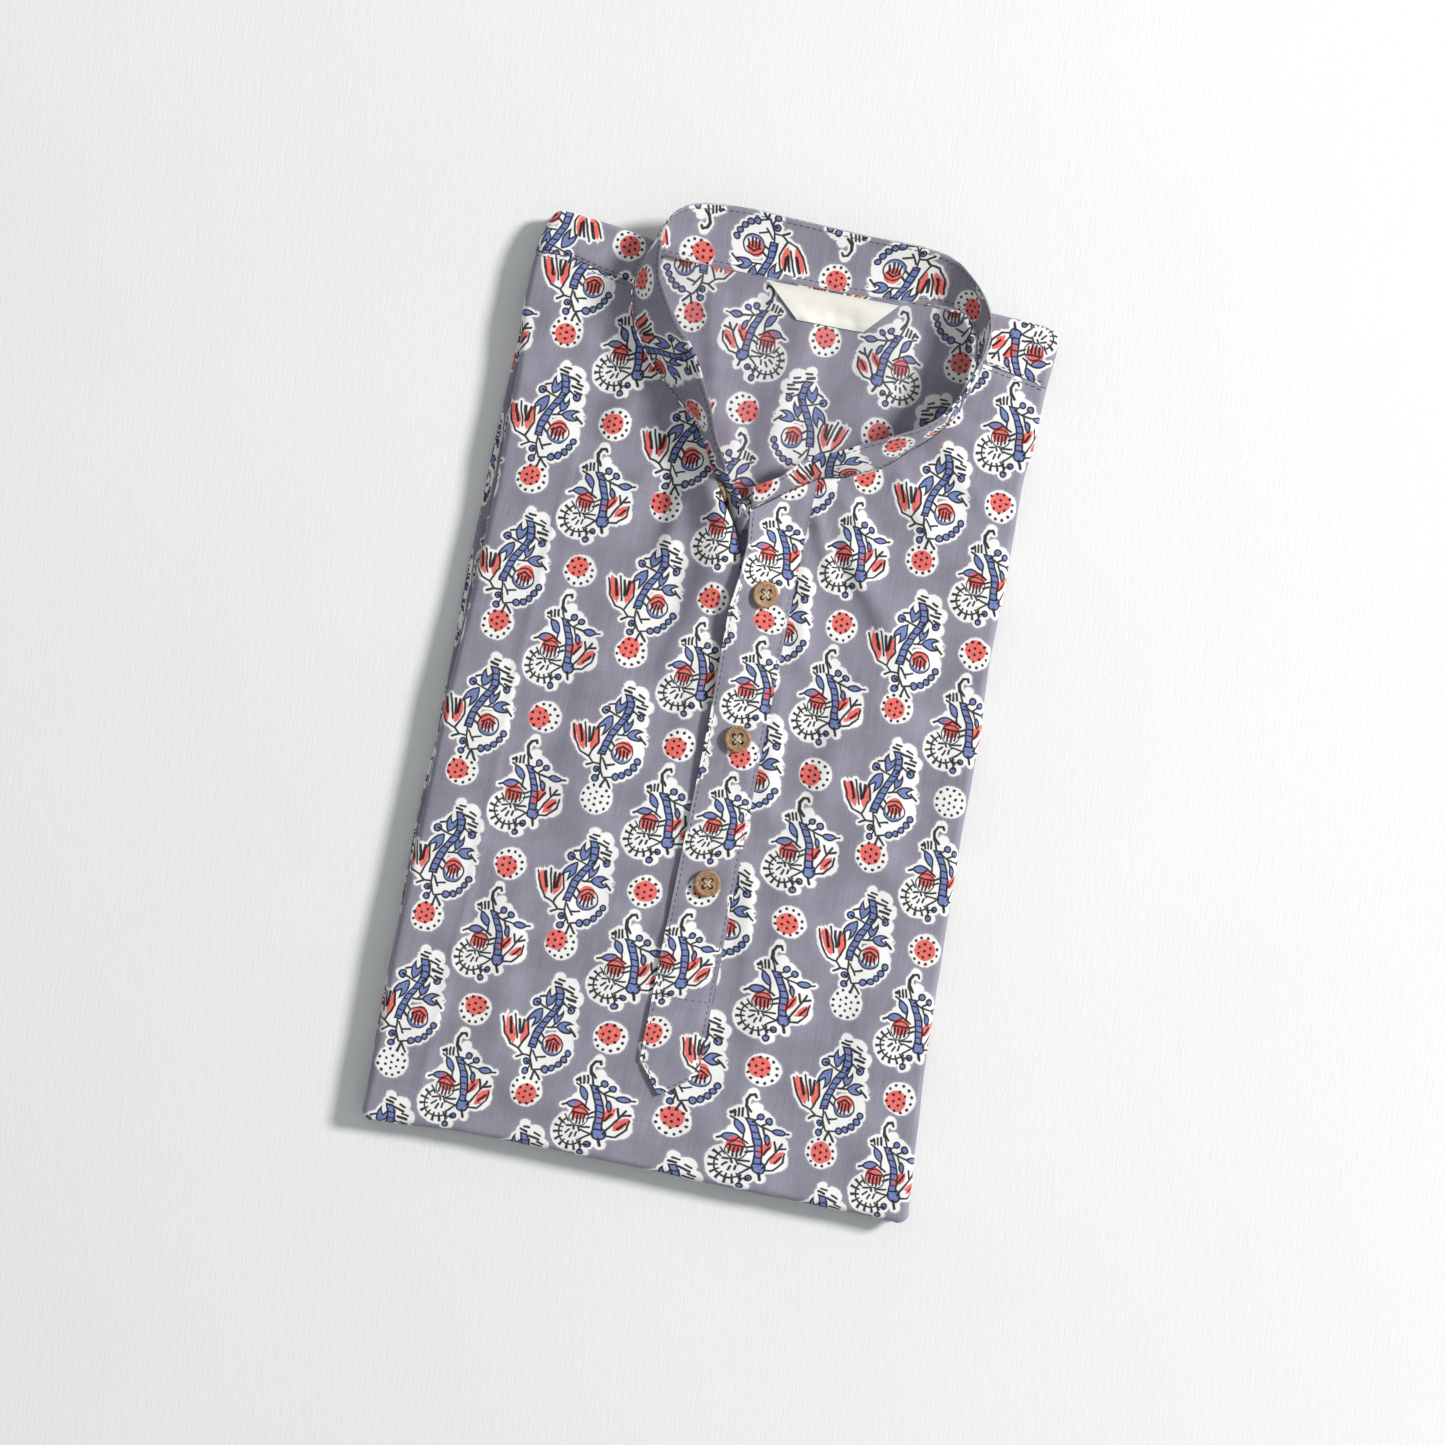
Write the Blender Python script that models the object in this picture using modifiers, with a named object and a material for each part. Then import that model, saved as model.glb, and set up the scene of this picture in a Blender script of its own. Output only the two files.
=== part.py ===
"""Folded cotton kurta: band collar, half placket, four buttons, lying flat on its back.

Metres, +Z up, +Y toward the collar. Sizes in the tables are millimetres, scaled once by MM.
"""
import math

import bmesh
import bpy
import numpy as np
from mathutils import Matrix, Vector, geometry

MM = 0.001

# Driving dimensions, in millimetres
STACK_TOP = 9.0          # top of the hidden layers
CLOTH = 1.2              # wall of a single panel
BAND = 1.4               # wall of the doubled band and placket
GAP = 0.3                # clearance between pieces
BACK_TOP = STACK_TOP + GAP + CLOTH
FRONT_TOP = BACK_TOP + GAP + CLOTH
ROLL = 3.3               # outer radius of the folded edges
ROLL_END = 165.0         # how far the cloth turns round a folded edge, degrees
ROLL_STEPS = 6
CORNER = 1.5             # radius of the flat face's corners
CORNER_STEPS = 3
CORNER_CLEAR = 1.0       # how far a side's own points stay from its corners' arcs
EDGE_STEP = 12.0         # spacing of points along an edge
FACE_STEP = 10.0         # spacing of points inside a panel
ROW_SHARE = 0.87         # rows of inner points, as a share of their spacing
EDGE_SHARE = 0.45        # inner points' distance from an edge, as a share of FACE_STEP
PLACKET_STEP = 8.0
UNDERLAP_STEP = 9.0
LABEL_STEP = 5.0
LAYERS_STEP = 40.0
SLOPE_STEP = 2.0         # reach of the slope measured under a button
NECK_GAP = 1.1           # from the middle of the band to the panels' neckline
BUTTON_RADIUS = 6.0
BUTTON_HEIGHT = 2.4
HOLE_RADIUS = 0.85
HOLE_OFFSET = 1.5
BUTTON_SIDES = 24

# Corners of the folded outline
BOTTOM_LEFT = (-120.3, -205.5)
BOTTOM_RIGHT = (127.7, -206.4)
TOP_RIGHT = (120.9, 197.2)
TOP_LEFT = (-111.5, 209.3)

# The folded edges seen from above: y then x
FRONT_LEFT = ((-205.5, -120.3), (-99, -119.8), (-57, -118.9), (-17, -118.2), (30, -115.7), (77, -114.0),
              (136, -114.2), (162, -116.9), (188.8, -116.5), (209.3, -111.5))
LAYERS_LEFT = ((-205.5, -120.6), (-155, -122.0), (-115, -121.2), (-63, -121.9), (-30, -119.9), (32, -120.2),
               (83, -119.7), (146, -117.4), (188.8, -116.2), (209.3, -111.0))
RIGHT = ((-206.4, 127.7), (-141.5, 122.9), (-70, 120.4), (-23, 119.2), (15, 118.9), (48, 117.1), (87, 117.3),
         (129, 116.5), (143, 118.6), (171.1, 119.1), (197.2, 120.9))
# x then y
BOTTOM = ((-120.3, -205.5), (-76, -203.0), (-35, -203.2), (6, -204.0), (52, -205.3), (127.7, -206.4))
TOP = ((-111.5, 209.3), (-83.4, 206.7), (-66, 203.9), (-56, 200.8), (80, 200.4), (109.1, 198.7),
       (120.9, 197.2))
YOKE_SEAM_LEFT = ((-99.9, 189.1), (-85.2, 185.3), (-71.3, 182.9))
YOKE_SEAM_RIGHT = ((88.0, 176.9), (90.8, 176.4), (113.4, 172.7))
SEAM_END_LEFT = 188.8            # where the yokes' seams reach the folded edges
SEAM_END_RIGHT = 171.1
YOKE_START_LEFT = -65.4          # where the yokes start beside the collar
YOKE_START_RIGHT = 80.0

# The back, and its rise to the collar's seam
BACK_START = -197.0
BACK_TURN = 176.0
BACK_END = 195.2
BACK_STEP = 16.0
BACK_TOP_STEP = 4.0
BACK_COLUMNS = 15
BACK_NARROWING = 18.0            # how far the back's top corners stay inside its sides
NARROWING_START = 180.0
NARROWING_RUN = 16.0
RISE = 1.2
RISE_START = 184.0
RISE_RUN = 10.0
RISE_MIDDLE = 8.0
RISE_HALF = 66.0
RISE_FADE = 14.0

# Collar band, from its left end round the back to its right end
# base x, y, z then top edge x, y, z
COLLAR = (
    (-3.0, 81.0, 12.7, -0.8, 89.3, 19.5),
    (-12.0, 94.0, 12.7, -6.4, 97.7, 24.0),
    (-20.2, 106.5, 12.8, -13.2, 106.0, 27.0),
    (-28.7, 124.6, 12.9, -20.6, 119.5, 29.5),
    (-40.0, 135.0, 12.9, -27.6, 136.0, 31.0),
    (-54.0, 148.0, 12.9, -37.0, 154.5, 31.5),
    (-65.5, 164.0, 12.9, -48.6, 168.5, 31.5),
    (-70.0, 180.0, 12.8, -57.3, 182.5, 31.0),
    (-68.6, 191.5, 12.7, -60.6, 196.5, 28.0),
    (-62.5, 197.5, 12.6, -60.4, 210.0, 22.0),
    (-52.0, 197.2, 12.5, -52.5, 220.3, 18.0),
    (-27.0, 196.6, 12.4, -30.0, 224.1, 15.5),
    (0.0, 196.2, 12.4, -1.0, 223.2, 15.0),
    (27.0, 196.4, 12.4, 28.0, 222.0, 15.0),
    (50.0, 197.4, 12.5, 54.0, 221.5, 16.5),
    (66.0, 199.0, 12.6, 69.0, 217.6, 19.5),
    (77.5, 196.8, 12.7, 81.2, 207.0, 24.5),
    (84.6, 187.0, 12.8, 88.0, 194.5, 28.5),
    (86.4, 175.0, 12.9, 88.2, 180.5, 30.5),
    (84.4, 162.0, 12.9, 84.2, 166.0, 31.5),
    (80.0, 150.4, 12.9, 77.6, 152.0, 31.5),
    (72.5, 140.6, 12.9, 68.6, 142.8, 30.5),
    (62.6, 131.6, 12.9, 57.0, 136.6, 29.0),
    (52.6, 122.8, 13.0, 45.0, 130.6, 27.5),
    (39.4, 116.4, 13.4, 33.0, 124.6, 26.0),
    (26.6, 113.0, 14.4, 21.6, 120.4, 24.5),
    (14.0, 105.4, 15.2, 11.2, 110.2, 23.5),
    (4.6, 98.2, 15.8, 4.0, 105.0, 22.8),
    (1.4, 95.4, 16.0, 1.6, 101.6, 22.0),
)
COLLAR_COLUMNS = 5
COLLAR_STEPS = 2
NECK_LEFT = (3, 7)               # collar rows beside the front's left half
NECK_YOKE_LEFT = (8, 9)          # beside the left yoke
NECK_YOKE_RIGHT = (17, 18)       # beside the right yoke
NECK_RIGHT = (19, 25)            # and beside the front's right half

# The placket and the slit under it
PLACKET_LEFT = ((94, 0.5), (60, 0.0), (0, -0.9), (-120, -2.8), (-155.9, -2.9))
PLACKET_RIGHT = ((112, 26.4), (60, 25.4), (0, 24.8), (-158.5, 23.8))
PLACKET_TIP = (8.2, -170.3)
SLIT_LEFT = 1.5
SLIT_RIGHT = 24.2
SLIT_END = -126.0
SLIT_TOP = 109.6
PLACKET_SETBACK = (0.55, -1.1)   # from the collar's base to the placket's top edge
UNDERLAP_LEFT = 1.8
UNDERLAP_RIGHT = 23.9
UNDERLAP_DROP = 0.1              # how far the underlap lies below the front's face
SLIT_MOUTH = ((-22.6, 108.6), (-20.6, 98.0), (-11.4, 84.0), (-3.0, 68.0), (0.8, 54.0), (SLIT_LEFT, 44.0))
UNDERLAP_MOUTH = ((23.9, 20.0), (21.0, 44.0), (12.0, 62.0), (1.0, 75.0), (-4.2, 80.0), (-13.4, 93.4),
                  (-21.0, 104.6), (-23.4, 98.0), (-15.5, 80.0), (-3.0, 60.0), (1.8, 51.0))
BUTTONS = ((12.6, 57.4), (13.0, -7.9), (11.7, -73.4))
TOP_BUTTON_ROW = 1.45            # collar row that carries the undone button
TOP_BUTTON_HEIGHT = 0.5          # part of the band's height
FINE_STEPS = 20                  # steps between collar rows, to place that button
BUTTON_CLEAR = 0.1               # more than GAP, under the placket's buttons
TOP_BUTTON_CLEAR = 0.2
FIRST_TURN = 0.3                 # turns of the buttons about their own axes, radians
NEXT_TURN = 0.8
TOP_BUTTON_TURN = 0.5
HOLE_SIDES = 8

LABEL = ((-11.5, 194.7), (4.1, 180.2), (34.0, 180.4), (47.5, 194.7))
LABEL_WALL = 1.0

# Soft ridges of the front: start x, y, end x, y, width, height
RIDGES = (
    (-24, 104, -6, 64, 12, 5.0),
    (-38, 126, -64, 158, 8, 1.0),
    (32, 100, 54, 66, 6, 1.6),
    (66, 128, 84, 88, 7, 1.3),
    (96, 160, 84, 116, 8, 1.0),
    (-102, 158, -86, 106, 8, 0.9),
    (-50, 60, -58, -30, 16, 0.6),
    (70, 20, 86, -120, 20, 0.7),
    (-20, -60, -24, -180, 18, 0.6),
)

# Outer form of the hidden layers: which outline, inset, height
LAYER_PROFILE = (
    ("lower", 1.4, 0.0), ("lower", 0.5, 0.35), ("lower", 0.2, 1.2), ("lower", 0.5, 2.1), ("lower", 1.6, 2.5),
    ("lower", 1.0, 2.9), ("lower", 0.7, 3.8), ("lower", 1.0, 4.7), ("lower", 2.0, 5.1),
    ("upper", 3.9, 5.1), ("upper", 3.8, 6.9), ("upper", 2.5, 7.7), ("upper", 2.2, 8.4), ("upper", 3.2, 9.0),
)

PRINT_GREY = (0.20, 0.18, 0.24)
WOOD = (0.30, 0.17, 0.08)
LABEL_WHITE = (0.85, 0.84, 0.78)


def smoothstep(value):
    value = min(max(value, 0.0), 1.0)
    return value * value * (3.0 - 2.0 * value)


def table_value(table, key):
    rows = sorted(table)
    return float(np.interp(key, [row[0] for row in rows], [row[1] for row in rows]))


def ridge_height(x, y, ridge):
    x0, y0, x1, y1, width, height = ridge
    along = Vector((x1 - x0, y1 - y0))
    offset = Vector((x - x0, y - y0))
    share = min(max(offset.dot(along) / along.length_squared, 0.0), 1.0)
    distance = (offset - along * share).length
    return height * math.exp(-0.5 * (distance / width) ** 2)


def front_height(x, y):
    """Outer face of the front and yokes."""
    return FRONT_TOP + sum(ridge_height(x, y, ridge) for ridge in RIDGES)


def back_height(x, y):
    """Inner face of the back, that rises to the collar's seam."""
    beside = smoothstep((RISE_HALF - abs(x - RISE_MIDDLE)) / RISE_FADE)
    return BACK_TOP + RISE * beside * smoothstep((y - RISE_START) / RISE_RUN)


def placket_height(x, y):
    return front_height(x, y) + GAP + BAND


def underlap_height(x, y):
    return FRONT_TOP - UNDERLAP_DROP


def label_height(x, y):
    return back_height(x, y) + GAP + LABEL_WALL


def resample(points, step):
    """Points along a polyline, evenly spaced in each of its spans."""
    result = []
    for start, end in zip(points[:-1], points[1:]):
        span = math.dist(start, end)
        count = max(1, round(span / step))
        for index in range(count):
            share = index / count
            result.append(tuple(a + (b - a) * share for a, b in zip(start, end)))
    result.append(tuple(points[-1]))
    return result


def curve_through(rows, steps):
    """Smooth curve through rows of numbers, with a number of steps in each span."""
    rows = [np.array(row, dtype=float) for row in rows]
    padded = [2 * rows[0] - rows[1]] + rows + [2 * rows[-1] - rows[-2]]
    result = []
    for index in range(1, len(padded) - 2):
        before, start, end, after = padded[index - 1:index + 3]
        for step in range(steps):
            t = step / steps
            result.append(0.5 * (2 * start + (end - before) * t
                                 + (2 * before - 5 * start + 4 * end - after) * t ** 2
                                 + (3 * start - before - 3 * end + after) * t ** 3))
    result.append(rows[-1])
    return result


def side_keys(start, end):
    """Keys from start to end that every piece along the same side shares."""
    low, high = min(start, end), max(start, end)
    first = math.ceil((low + EDGE_STEP / 4) / EDGE_STEP)
    last = math.floor((high - EDGE_STEP / 4) / EDGE_STEP)
    keys = [low] + [index * EDGE_STEP for index in range(first, last + 1)] + [high]
    return keys if start < end else keys[::-1]


def side_run(side, left_table, start, end):
    """Points along one side of the folded outline, each with its outward normal."""
    table = {"left": left_table, "right": RIGHT, "bottom": BOTTOM, "top": TOP}[side]
    outward = {"left": -1.0, "right": 1.0, "bottom": -1.0, "top": 1.0}[side]
    result = []
    for key in side_keys(start, end):
        value = table_value(table, key)
        before = table_value(table, key - EDGE_STEP / 2)
        slope = (table_value(table, key + EDGE_STEP / 2) - before) / EDGE_STEP
        if side in ("left", "right"):
            point, normal = Vector((value, key)), Vector((1.0, -slope))
        else:
            point, normal = Vector((key, value)), Vector((-slope, 1.0))
        result.append((point, normal.normalized() * outward))
    return result


def joined_run(runs, closed):
    """One run of points on the flat face, ROLL inside the outline, with their outward normals.

    Sides meet in rounded corners.
    """
    count = len(runs)
    result = []
    for index, run in enumerate(runs):
        corners = []
        if closed or index > 0:
            corners.append(run[0][0])
        if closed or index < count - 1:
            corners.append(run[-1][0])
        for point, normal in run:
            if all((point - corner).length > ROLL + CORNER + CORNER_CLEAR for corner in corners):
                result.append((point - normal * ROLL, normal))
        if not closed and index == count - 1:
            continue
        normal_in = run[-1][1]
        normal_out = runs[(index + 1) % count][0][1]
        centre = run[-1][0] - (normal_in + normal_out) * (ROLL + CORNER)
        for step in range(CORNER_STEPS + 1):
            direction = normal_in.lerp(normal_out, step / CORNER_STEPS).normalized()
            result.append((centre + direction * CORNER, direction))
    return result


def closed_outline(left_table, inset):
    """Closed outline of the folded garment, at an inset from its edge."""
    left = side_run("left", left_table, TOP_LEFT[1], BOTTOM_LEFT[1])
    bottom = side_run("bottom", left_table, BOTTOM_LEFT[0], BOTTOM_RIGHT[0])
    right = side_run("right", left_table, BOTTOM_RIGHT[1], TOP_RIGHT[1])
    top = side_run("top", left_table, TOP_RIGHT[0], TOP_LEFT[0])
    run = joined_run((left, bottom, right, top), closed=True)
    return [point + normal * (ROLL - inset) for point, normal in run]


def shifted(points, dy):
    return [Vector((x, y + dy)) for x, y in points]


def neckline(first, last):
    """Neckline points beside the collar's base, from one collar row to another."""
    base = [Vector(row[:2]) for row in curve_through(COLLAR, COLLAR_STEPS)]
    result = []
    for index in range(first * COLLAR_STEPS, last * COLLAR_STEPS + 1):
        tangent = (base[index + 1] - base[index - 1]).normalized()
        result.append(base[index] + Vector((-tangent.y, tangent.x)) * NECK_GAP)
    return result


def inside(point, loop):
    """Whether a point is inside a loop, and clear of its edges."""
    x, y = point
    odd = False
    for start, end in zip(loop, loop[1:] + loop[:1]):
        if (start[1] > y) != (end[1] > y):
            if x < start[0] + (end[0] - start[0]) * (y - start[1]) / (end[1] - start[1]):
                odd = not odd
    if not odd:
        return False
    spot = Vector(point)
    for start, end in zip(loop, loop[1:] + loop[:1]):
        near, share = geometry.intersect_point_line(spot, Vector(start), Vector(end))
        near = Vector(start).lerp(Vector(end), min(max(share, 0.0), 1.0))
        if (near - spot).length < FACE_STEP * EDGE_SHARE:
            return False
    return True


def filled_face(mesh, loop, height, step):
    """Triangulated face inside a loop, with even points in it. Returns the loop's vertices."""
    loop = [Vector(point[:2]) for point in loop]
    xs = [point.x for point in loop]
    ys = [point.y for point in loop]
    points = list(loop)
    row = 0
    y = min(ys) + step * 0.5
    while y < max(ys):
        x = min(xs) + step * (0.25 + 0.5 * (row % 2))
        while x < max(xs):
            if inside((x, y), [tuple(point) for point in loop]):
                points.append(Vector((x, y)))
            x += step
        y += step * ROW_SHARE
        row += 1
    outline = list(range(len(loop)))
    corners, _, faces, originals, _, _ = geometry.delaunay_2d_cdt(points, [], [outline], 1, 1e-5)
    vertices = [mesh.verts.new((p.x * MM, p.y * MM, height(p.x, p.y) * MM)) for p in corners]
    for face in faces:
        mesh.faces.new([vertices[index] for index in face])
    place = {source: index for index, sources in enumerate(originals) for source in sources}
    return [vertices[place[index]] for index in outline]


def add_roll(mesh, run, edge, height):
    """Cloth that turns round the folded edge, from the flat face's edge vertices."""
    previous = edge
    for step in range(1, ROLL_STEPS + 1):
        angle = math.radians(ROLL_END * step / ROLL_STEPS)
        current = []
        for point, normal in run:
            place = point + normal * ROLL * math.sin(angle)
            z = height(point.x, point.y) - ROLL * (1.0 - math.cos(angle))
            current.append(mesh.verts.new((place.x * MM, place.y * MM, z * MM)))
        for index in range(len(run) - 1):
            mesh.faces.new((previous[index], current[index], current[index + 1], previous[index + 1]))
        previous = current


def material(name, colour, roughness):
    result = bpy.data.materials.new(name)
    result.use_nodes = True
    shader = result.node_tree.nodes["Principled BSDF"]
    shader.inputs["Base Color"].default_value = (*colour, 1.0)
    shader.inputs["Roughness"].default_value = roughness
    shader.inputs["Metallic"].default_value = 0.0
    result.diffuse_color = (*colour, 1.0)
    return result


def mesh_object(name, mesh, colour, roughness):
    bmesh.ops.recalc_face_normals(mesh, faces=mesh.faces)
    data = bpy.data.meshes.new(name)
    mesh.to_mesh(data)
    mesh.free()
    result = bpy.data.objects.new(name, data)
    data.materials.append(material(name, colour, roughness))
    bpy.context.scene.collection.objects.link(result)
    return result


def cloth_object(name, mesh, wall, offset, colour=PRINT_GREY):
    """Open surface given its wall; offset -1 puts the wall below the surface, 0 on both sides."""
    if sum(face.normal.z * face.calc_area() for face in mesh.faces) < 0:
        bmesh.ops.reverse_faces(mesh, faces=mesh.faces)
    data = bpy.data.meshes.new(name)
    mesh.to_mesh(data)
    mesh.free()
    result = bpy.data.objects.new(name, data)
    data.materials.append(material(name, colour, 0.9))
    bpy.context.scene.collection.objects.link(result)
    solid = result.modifiers.new("wall", "SOLIDIFY")
    solid.thickness = wall * MM
    solid.offset = offset
    solid.use_even_offset = True
    return result


def panel(name, run, seam, height):
    """Panel with a flat face, folded round its edge along the run, and cut along the seam."""
    mesh = bmesh.new()
    loop = [point for point, _ in run] + list(seam)
    edge = filled_face(mesh, loop, height, FACE_STEP)
    add_roll(mesh, run, edge[:len(run)], height)
    mesh.normal_update()
    return cloth_object(name, mesh, CLOTH, -1.0)


def flat_panel(name, loop, height, wall, step, colour=PRINT_GREY):
    """Panel with cut edges and no fold."""
    mesh = bmesh.new()
    filled_face(mesh, loop, height, step)
    mesh.normal_update()
    return cloth_object(name, mesh, wall, -1.0, colour)


def build_front():
    half = GAP / 2
    left = side_run("left", FRONT_LEFT, SEAM_END_LEFT - half, BOTTOM_LEFT[1])
    bottom = side_run("bottom", FRONT_LEFT, BOTTOM_LEFT[0], BOTTOM_RIGHT[0])
    right = side_run("right", FRONT_LEFT, BOTTOM_RIGHT[1], SEAM_END_RIGHT - half)
    run = joined_run((left, bottom, right), closed=False)
    seam_right = shifted(reversed(YOKE_SEAM_RIGHT), -half)
    slit = [(SLIT_RIGHT, SLIT_TOP), (SLIT_RIGHT, SLIT_END), (SLIT_LEFT, SLIT_END)]
    slit = resample(slit + list(reversed(SLIT_MOUTH)), EDGE_STEP)
    seam_left = shifted(reversed(YOKE_SEAM_LEFT), -half)
    seam = seam_right + neckline(*NECK_RIGHT) + [Vector(point) for point in slit]
    seam += neckline(*NECK_LEFT) + seam_left
    panel("front", run, seam, front_height)


def build_yokes():
    half = GAP / 2
    left = side_run("left", FRONT_LEFT, TOP_LEFT[1], SEAM_END_LEFT + half)
    top = side_run("top", FRONT_LEFT, YOKE_START_LEFT, TOP_LEFT[0])
    run = joined_run((top, left), closed=False)
    seam = shifted(YOKE_SEAM_LEFT, half) + neckline(*NECK_YOKE_LEFT)
    panel("yoke_left", run, seam, front_height)
    right = side_run("right", FRONT_LEFT, SEAM_END_RIGHT + half, TOP_RIGHT[1])
    top = side_run("top", FRONT_LEFT, TOP_RIGHT[0], YOKE_START_RIGHT)
    run = joined_run((right, top), closed=False)
    seam = neckline(*NECK_YOKE_RIGHT)[:-1] + shifted(YOKE_SEAM_RIGHT, half)
    panel("yoke_right", run, seam, front_height)


def build_back():
    rows = resample(((0, BACK_START), (0, BACK_TURN)), BACK_STEP)[:-1]
    rows += resample(((0, BACK_TURN), (0, BACK_END)), BACK_TOP_STEP)
    mesh = bmesh.new()
    grid = []
    for _, y in rows:
        narrowing = BACK_NARROWING * smoothstep((y - NARROWING_START) / NARROWING_RUN)
        left = table_value(FRONT_LEFT, y) + ROLL + CORNER + narrowing
        right = table_value(RIGHT, y) - ROLL - CORNER - narrowing
        xs = [left + (right - left) * index / BACK_COLUMNS for index in range(BACK_COLUMNS + 1)]
        grid.append([mesh.verts.new((x * MM, y * MM, back_height(x, y) * MM)) for x in xs])
    for lower, upper in zip(grid[:-1], grid[1:]):
        for index in range(BACK_COLUMNS):
            mesh.faces.new((lower[index], lower[index + 1], upper[index + 1], upper[index]))
    mesh.normal_update()
    cloth_object("back", mesh, CLOTH, -1.0)


def build_layers():
    outlines = {"upper": FRONT_LEFT, "lower": LAYERS_LEFT}
    mesh = bmesh.new()
    rings = []
    for kind, inset, z in LAYER_PROFILE:
        points = closed_outline(outlines[kind], inset)
        if not rings:
            rings.append(filled_face(mesh, points, lambda x, y: 0.0, LAYERS_STEP))
        elif z == STACK_TOP:
            rings.append(filled_face(mesh, points, lambda x, y: STACK_TOP, LAYERS_STEP))
        else:
            rings.append([mesh.verts.new((p.x * MM, p.y * MM, z * MM)) for p in points])
    for lower, upper in zip(rings[:-1], rings[1:]):
        for index in range(len(lower)):
            after = (index + 1) % len(lower)
            mesh.faces.new((lower[index], lower[after], upper[after], upper[index]))
    mesh_object("folded_layers", mesh, PRINT_GREY, 0.9)


def collar_point(row, share):
    """Point on the middle of the band, between its base and its top edge."""
    return Vector(row[:3]).lerp(Vector(row[3:]), share)


def build_collar():
    mesh = bmesh.new()
    grid = []
    for row in curve_through(COLLAR, COLLAR_STEPS):
        points = [collar_point(row, column / (COLLAR_COLUMNS - 1)) for column in range(COLLAR_COLUMNS)]
        grid.append([mesh.verts.new(point * MM) for point in points])
    for near, far in zip(grid[:-1], grid[1:]):
        for column in range(COLLAR_COLUMNS - 1):
            mesh.faces.new((near[column], far[column], far[column + 1], near[column + 1]))
    mesh.normal_update()
    cloth_object("collar", mesh, BAND, 0.0)


def build_placket():
    left = resample([(x, y) for y, x in PLACKET_LEFT], EDGE_STEP)
    right = resample([(x, y) for y, x in reversed(PLACKET_RIGHT)], EDGE_STEP)
    top = [Vector(row[:2]) for row in COLLAR[-1:-4:-1]]
    top = [point + Vector(PLACKET_SETBACK) for point in top]
    loop = [Vector(p) for p in left] + [Vector(PLACKET_TIP)] + [Vector(p) for p in right]
    loop += list(reversed(top))
    flat_panel("placket", loop, placket_height, BAND, PLACKET_STEP)


def build_underlap():
    bottom = SLIT_END + GAP
    corners = ((UNDERLAP_LEFT, bottom), (UNDERLAP_RIGHT, bottom))
    side = resample((UNDERLAP_MOUTH[-1], *corners, UNDERLAP_MOUTH[0]), EDGE_STEP)
    loop = [Vector(point) for point in side[:-1]] + [Vector(point) for point in UNDERLAP_MOUTH[:-1]]
    flat_panel("placket_under", loop, underlap_height, CLOTH - UNDERLAP_DROP, UNDERLAP_STEP)


def surface_frame(x, y, height):
    """Placement on a height surface, turned to its slope."""
    slope_x = (height(x + SLOPE_STEP, y) - height(x - SLOPE_STEP, y)) / (2 * SLOPE_STEP)
    slope_y = (height(x, y + SLOPE_STEP) - height(x, y - SLOPE_STEP)) / (2 * SLOPE_STEP)
    normal = Vector((-slope_x, -slope_y, 1.0)).normalized()
    return Vector((x, y, height(x, y))), normal


def build_button(name, place, normal, turn):
    """Turned disc with a raised rim and four holes."""
    profile = ((0.0, 0.0), (0.86, 0.0), (1.0, 0.22), (1.0, 0.72), (0.9, 1.0), (0.74, 1.0), (0.62, 0.74),
               (0.0, 0.7))
    mesh = bmesh.new()
    rings = []
    for radius, rise in profile:
        z = rise * BUTTON_HEIGHT
        if radius == 0.0:
            rings.append([mesh.verts.new((0, 0, z * MM))])
            continue
        ring = []
        for side in range(BUTTON_SIDES):
            angle = 2 * math.pi * side / BUTTON_SIDES
            reach = radius * BUTTON_RADIUS
            ring.append(mesh.verts.new((reach * math.cos(angle) * MM, reach * math.sin(angle) * MM, z * MM)))
        rings.append(ring)
    for lower, upper in zip(rings[:-1], rings[1:]):
        for side in range(BUTTON_SIDES):
            after = (side + 1) % BUTTON_SIDES
            corners = [lower[side % len(lower)], lower[after % len(lower)],
                       upper[after % len(upper)], upper[side % len(upper)]]
            mesh.faces.new(list(dict.fromkeys(corners)))
    button = mesh_object(name, mesh, WOOD, 0.6)
    cutters = []
    for index in range(4):
        angle = math.pi / 4 + index * math.pi / 2
        bpy.ops.mesh.primitive_cylinder_add(vertices=HOLE_SIDES, radius=HOLE_RADIUS * MM,
                                            depth=4 * BUTTON_HEIGHT * MM,
                                            location=(HOLE_OFFSET * math.cos(angle) * MM,
                                                      HOLE_OFFSET * math.sin(angle) * MM, 0))
        cutters.append(bpy.context.object)
    for cutter in cutters:
        cut = button.modifiers.new("hole", "BOOLEAN")
        cut.operation = "DIFFERENCE"
        cut.solver = "EXACT"
        cut.object = cutter
    bpy.context.view_layer.update()
    evaluated = button.evaluated_get(bpy.context.evaluated_depsgraph_get())
    cut_mesh = bpy.data.meshes.new_from_object(evaluated)
    button.modifiers.clear()
    button.data = cut_mesh
    for cutter in cutters:
        bpy.data.objects.remove(cutter)
    rotation = normal.to_track_quat("Z", "Y").to_matrix().to_4x4()
    button.matrix_world = Matrix.Translation(place * MM) @ rotation @ Matrix.Rotation(turn, 4, "Z")


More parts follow.
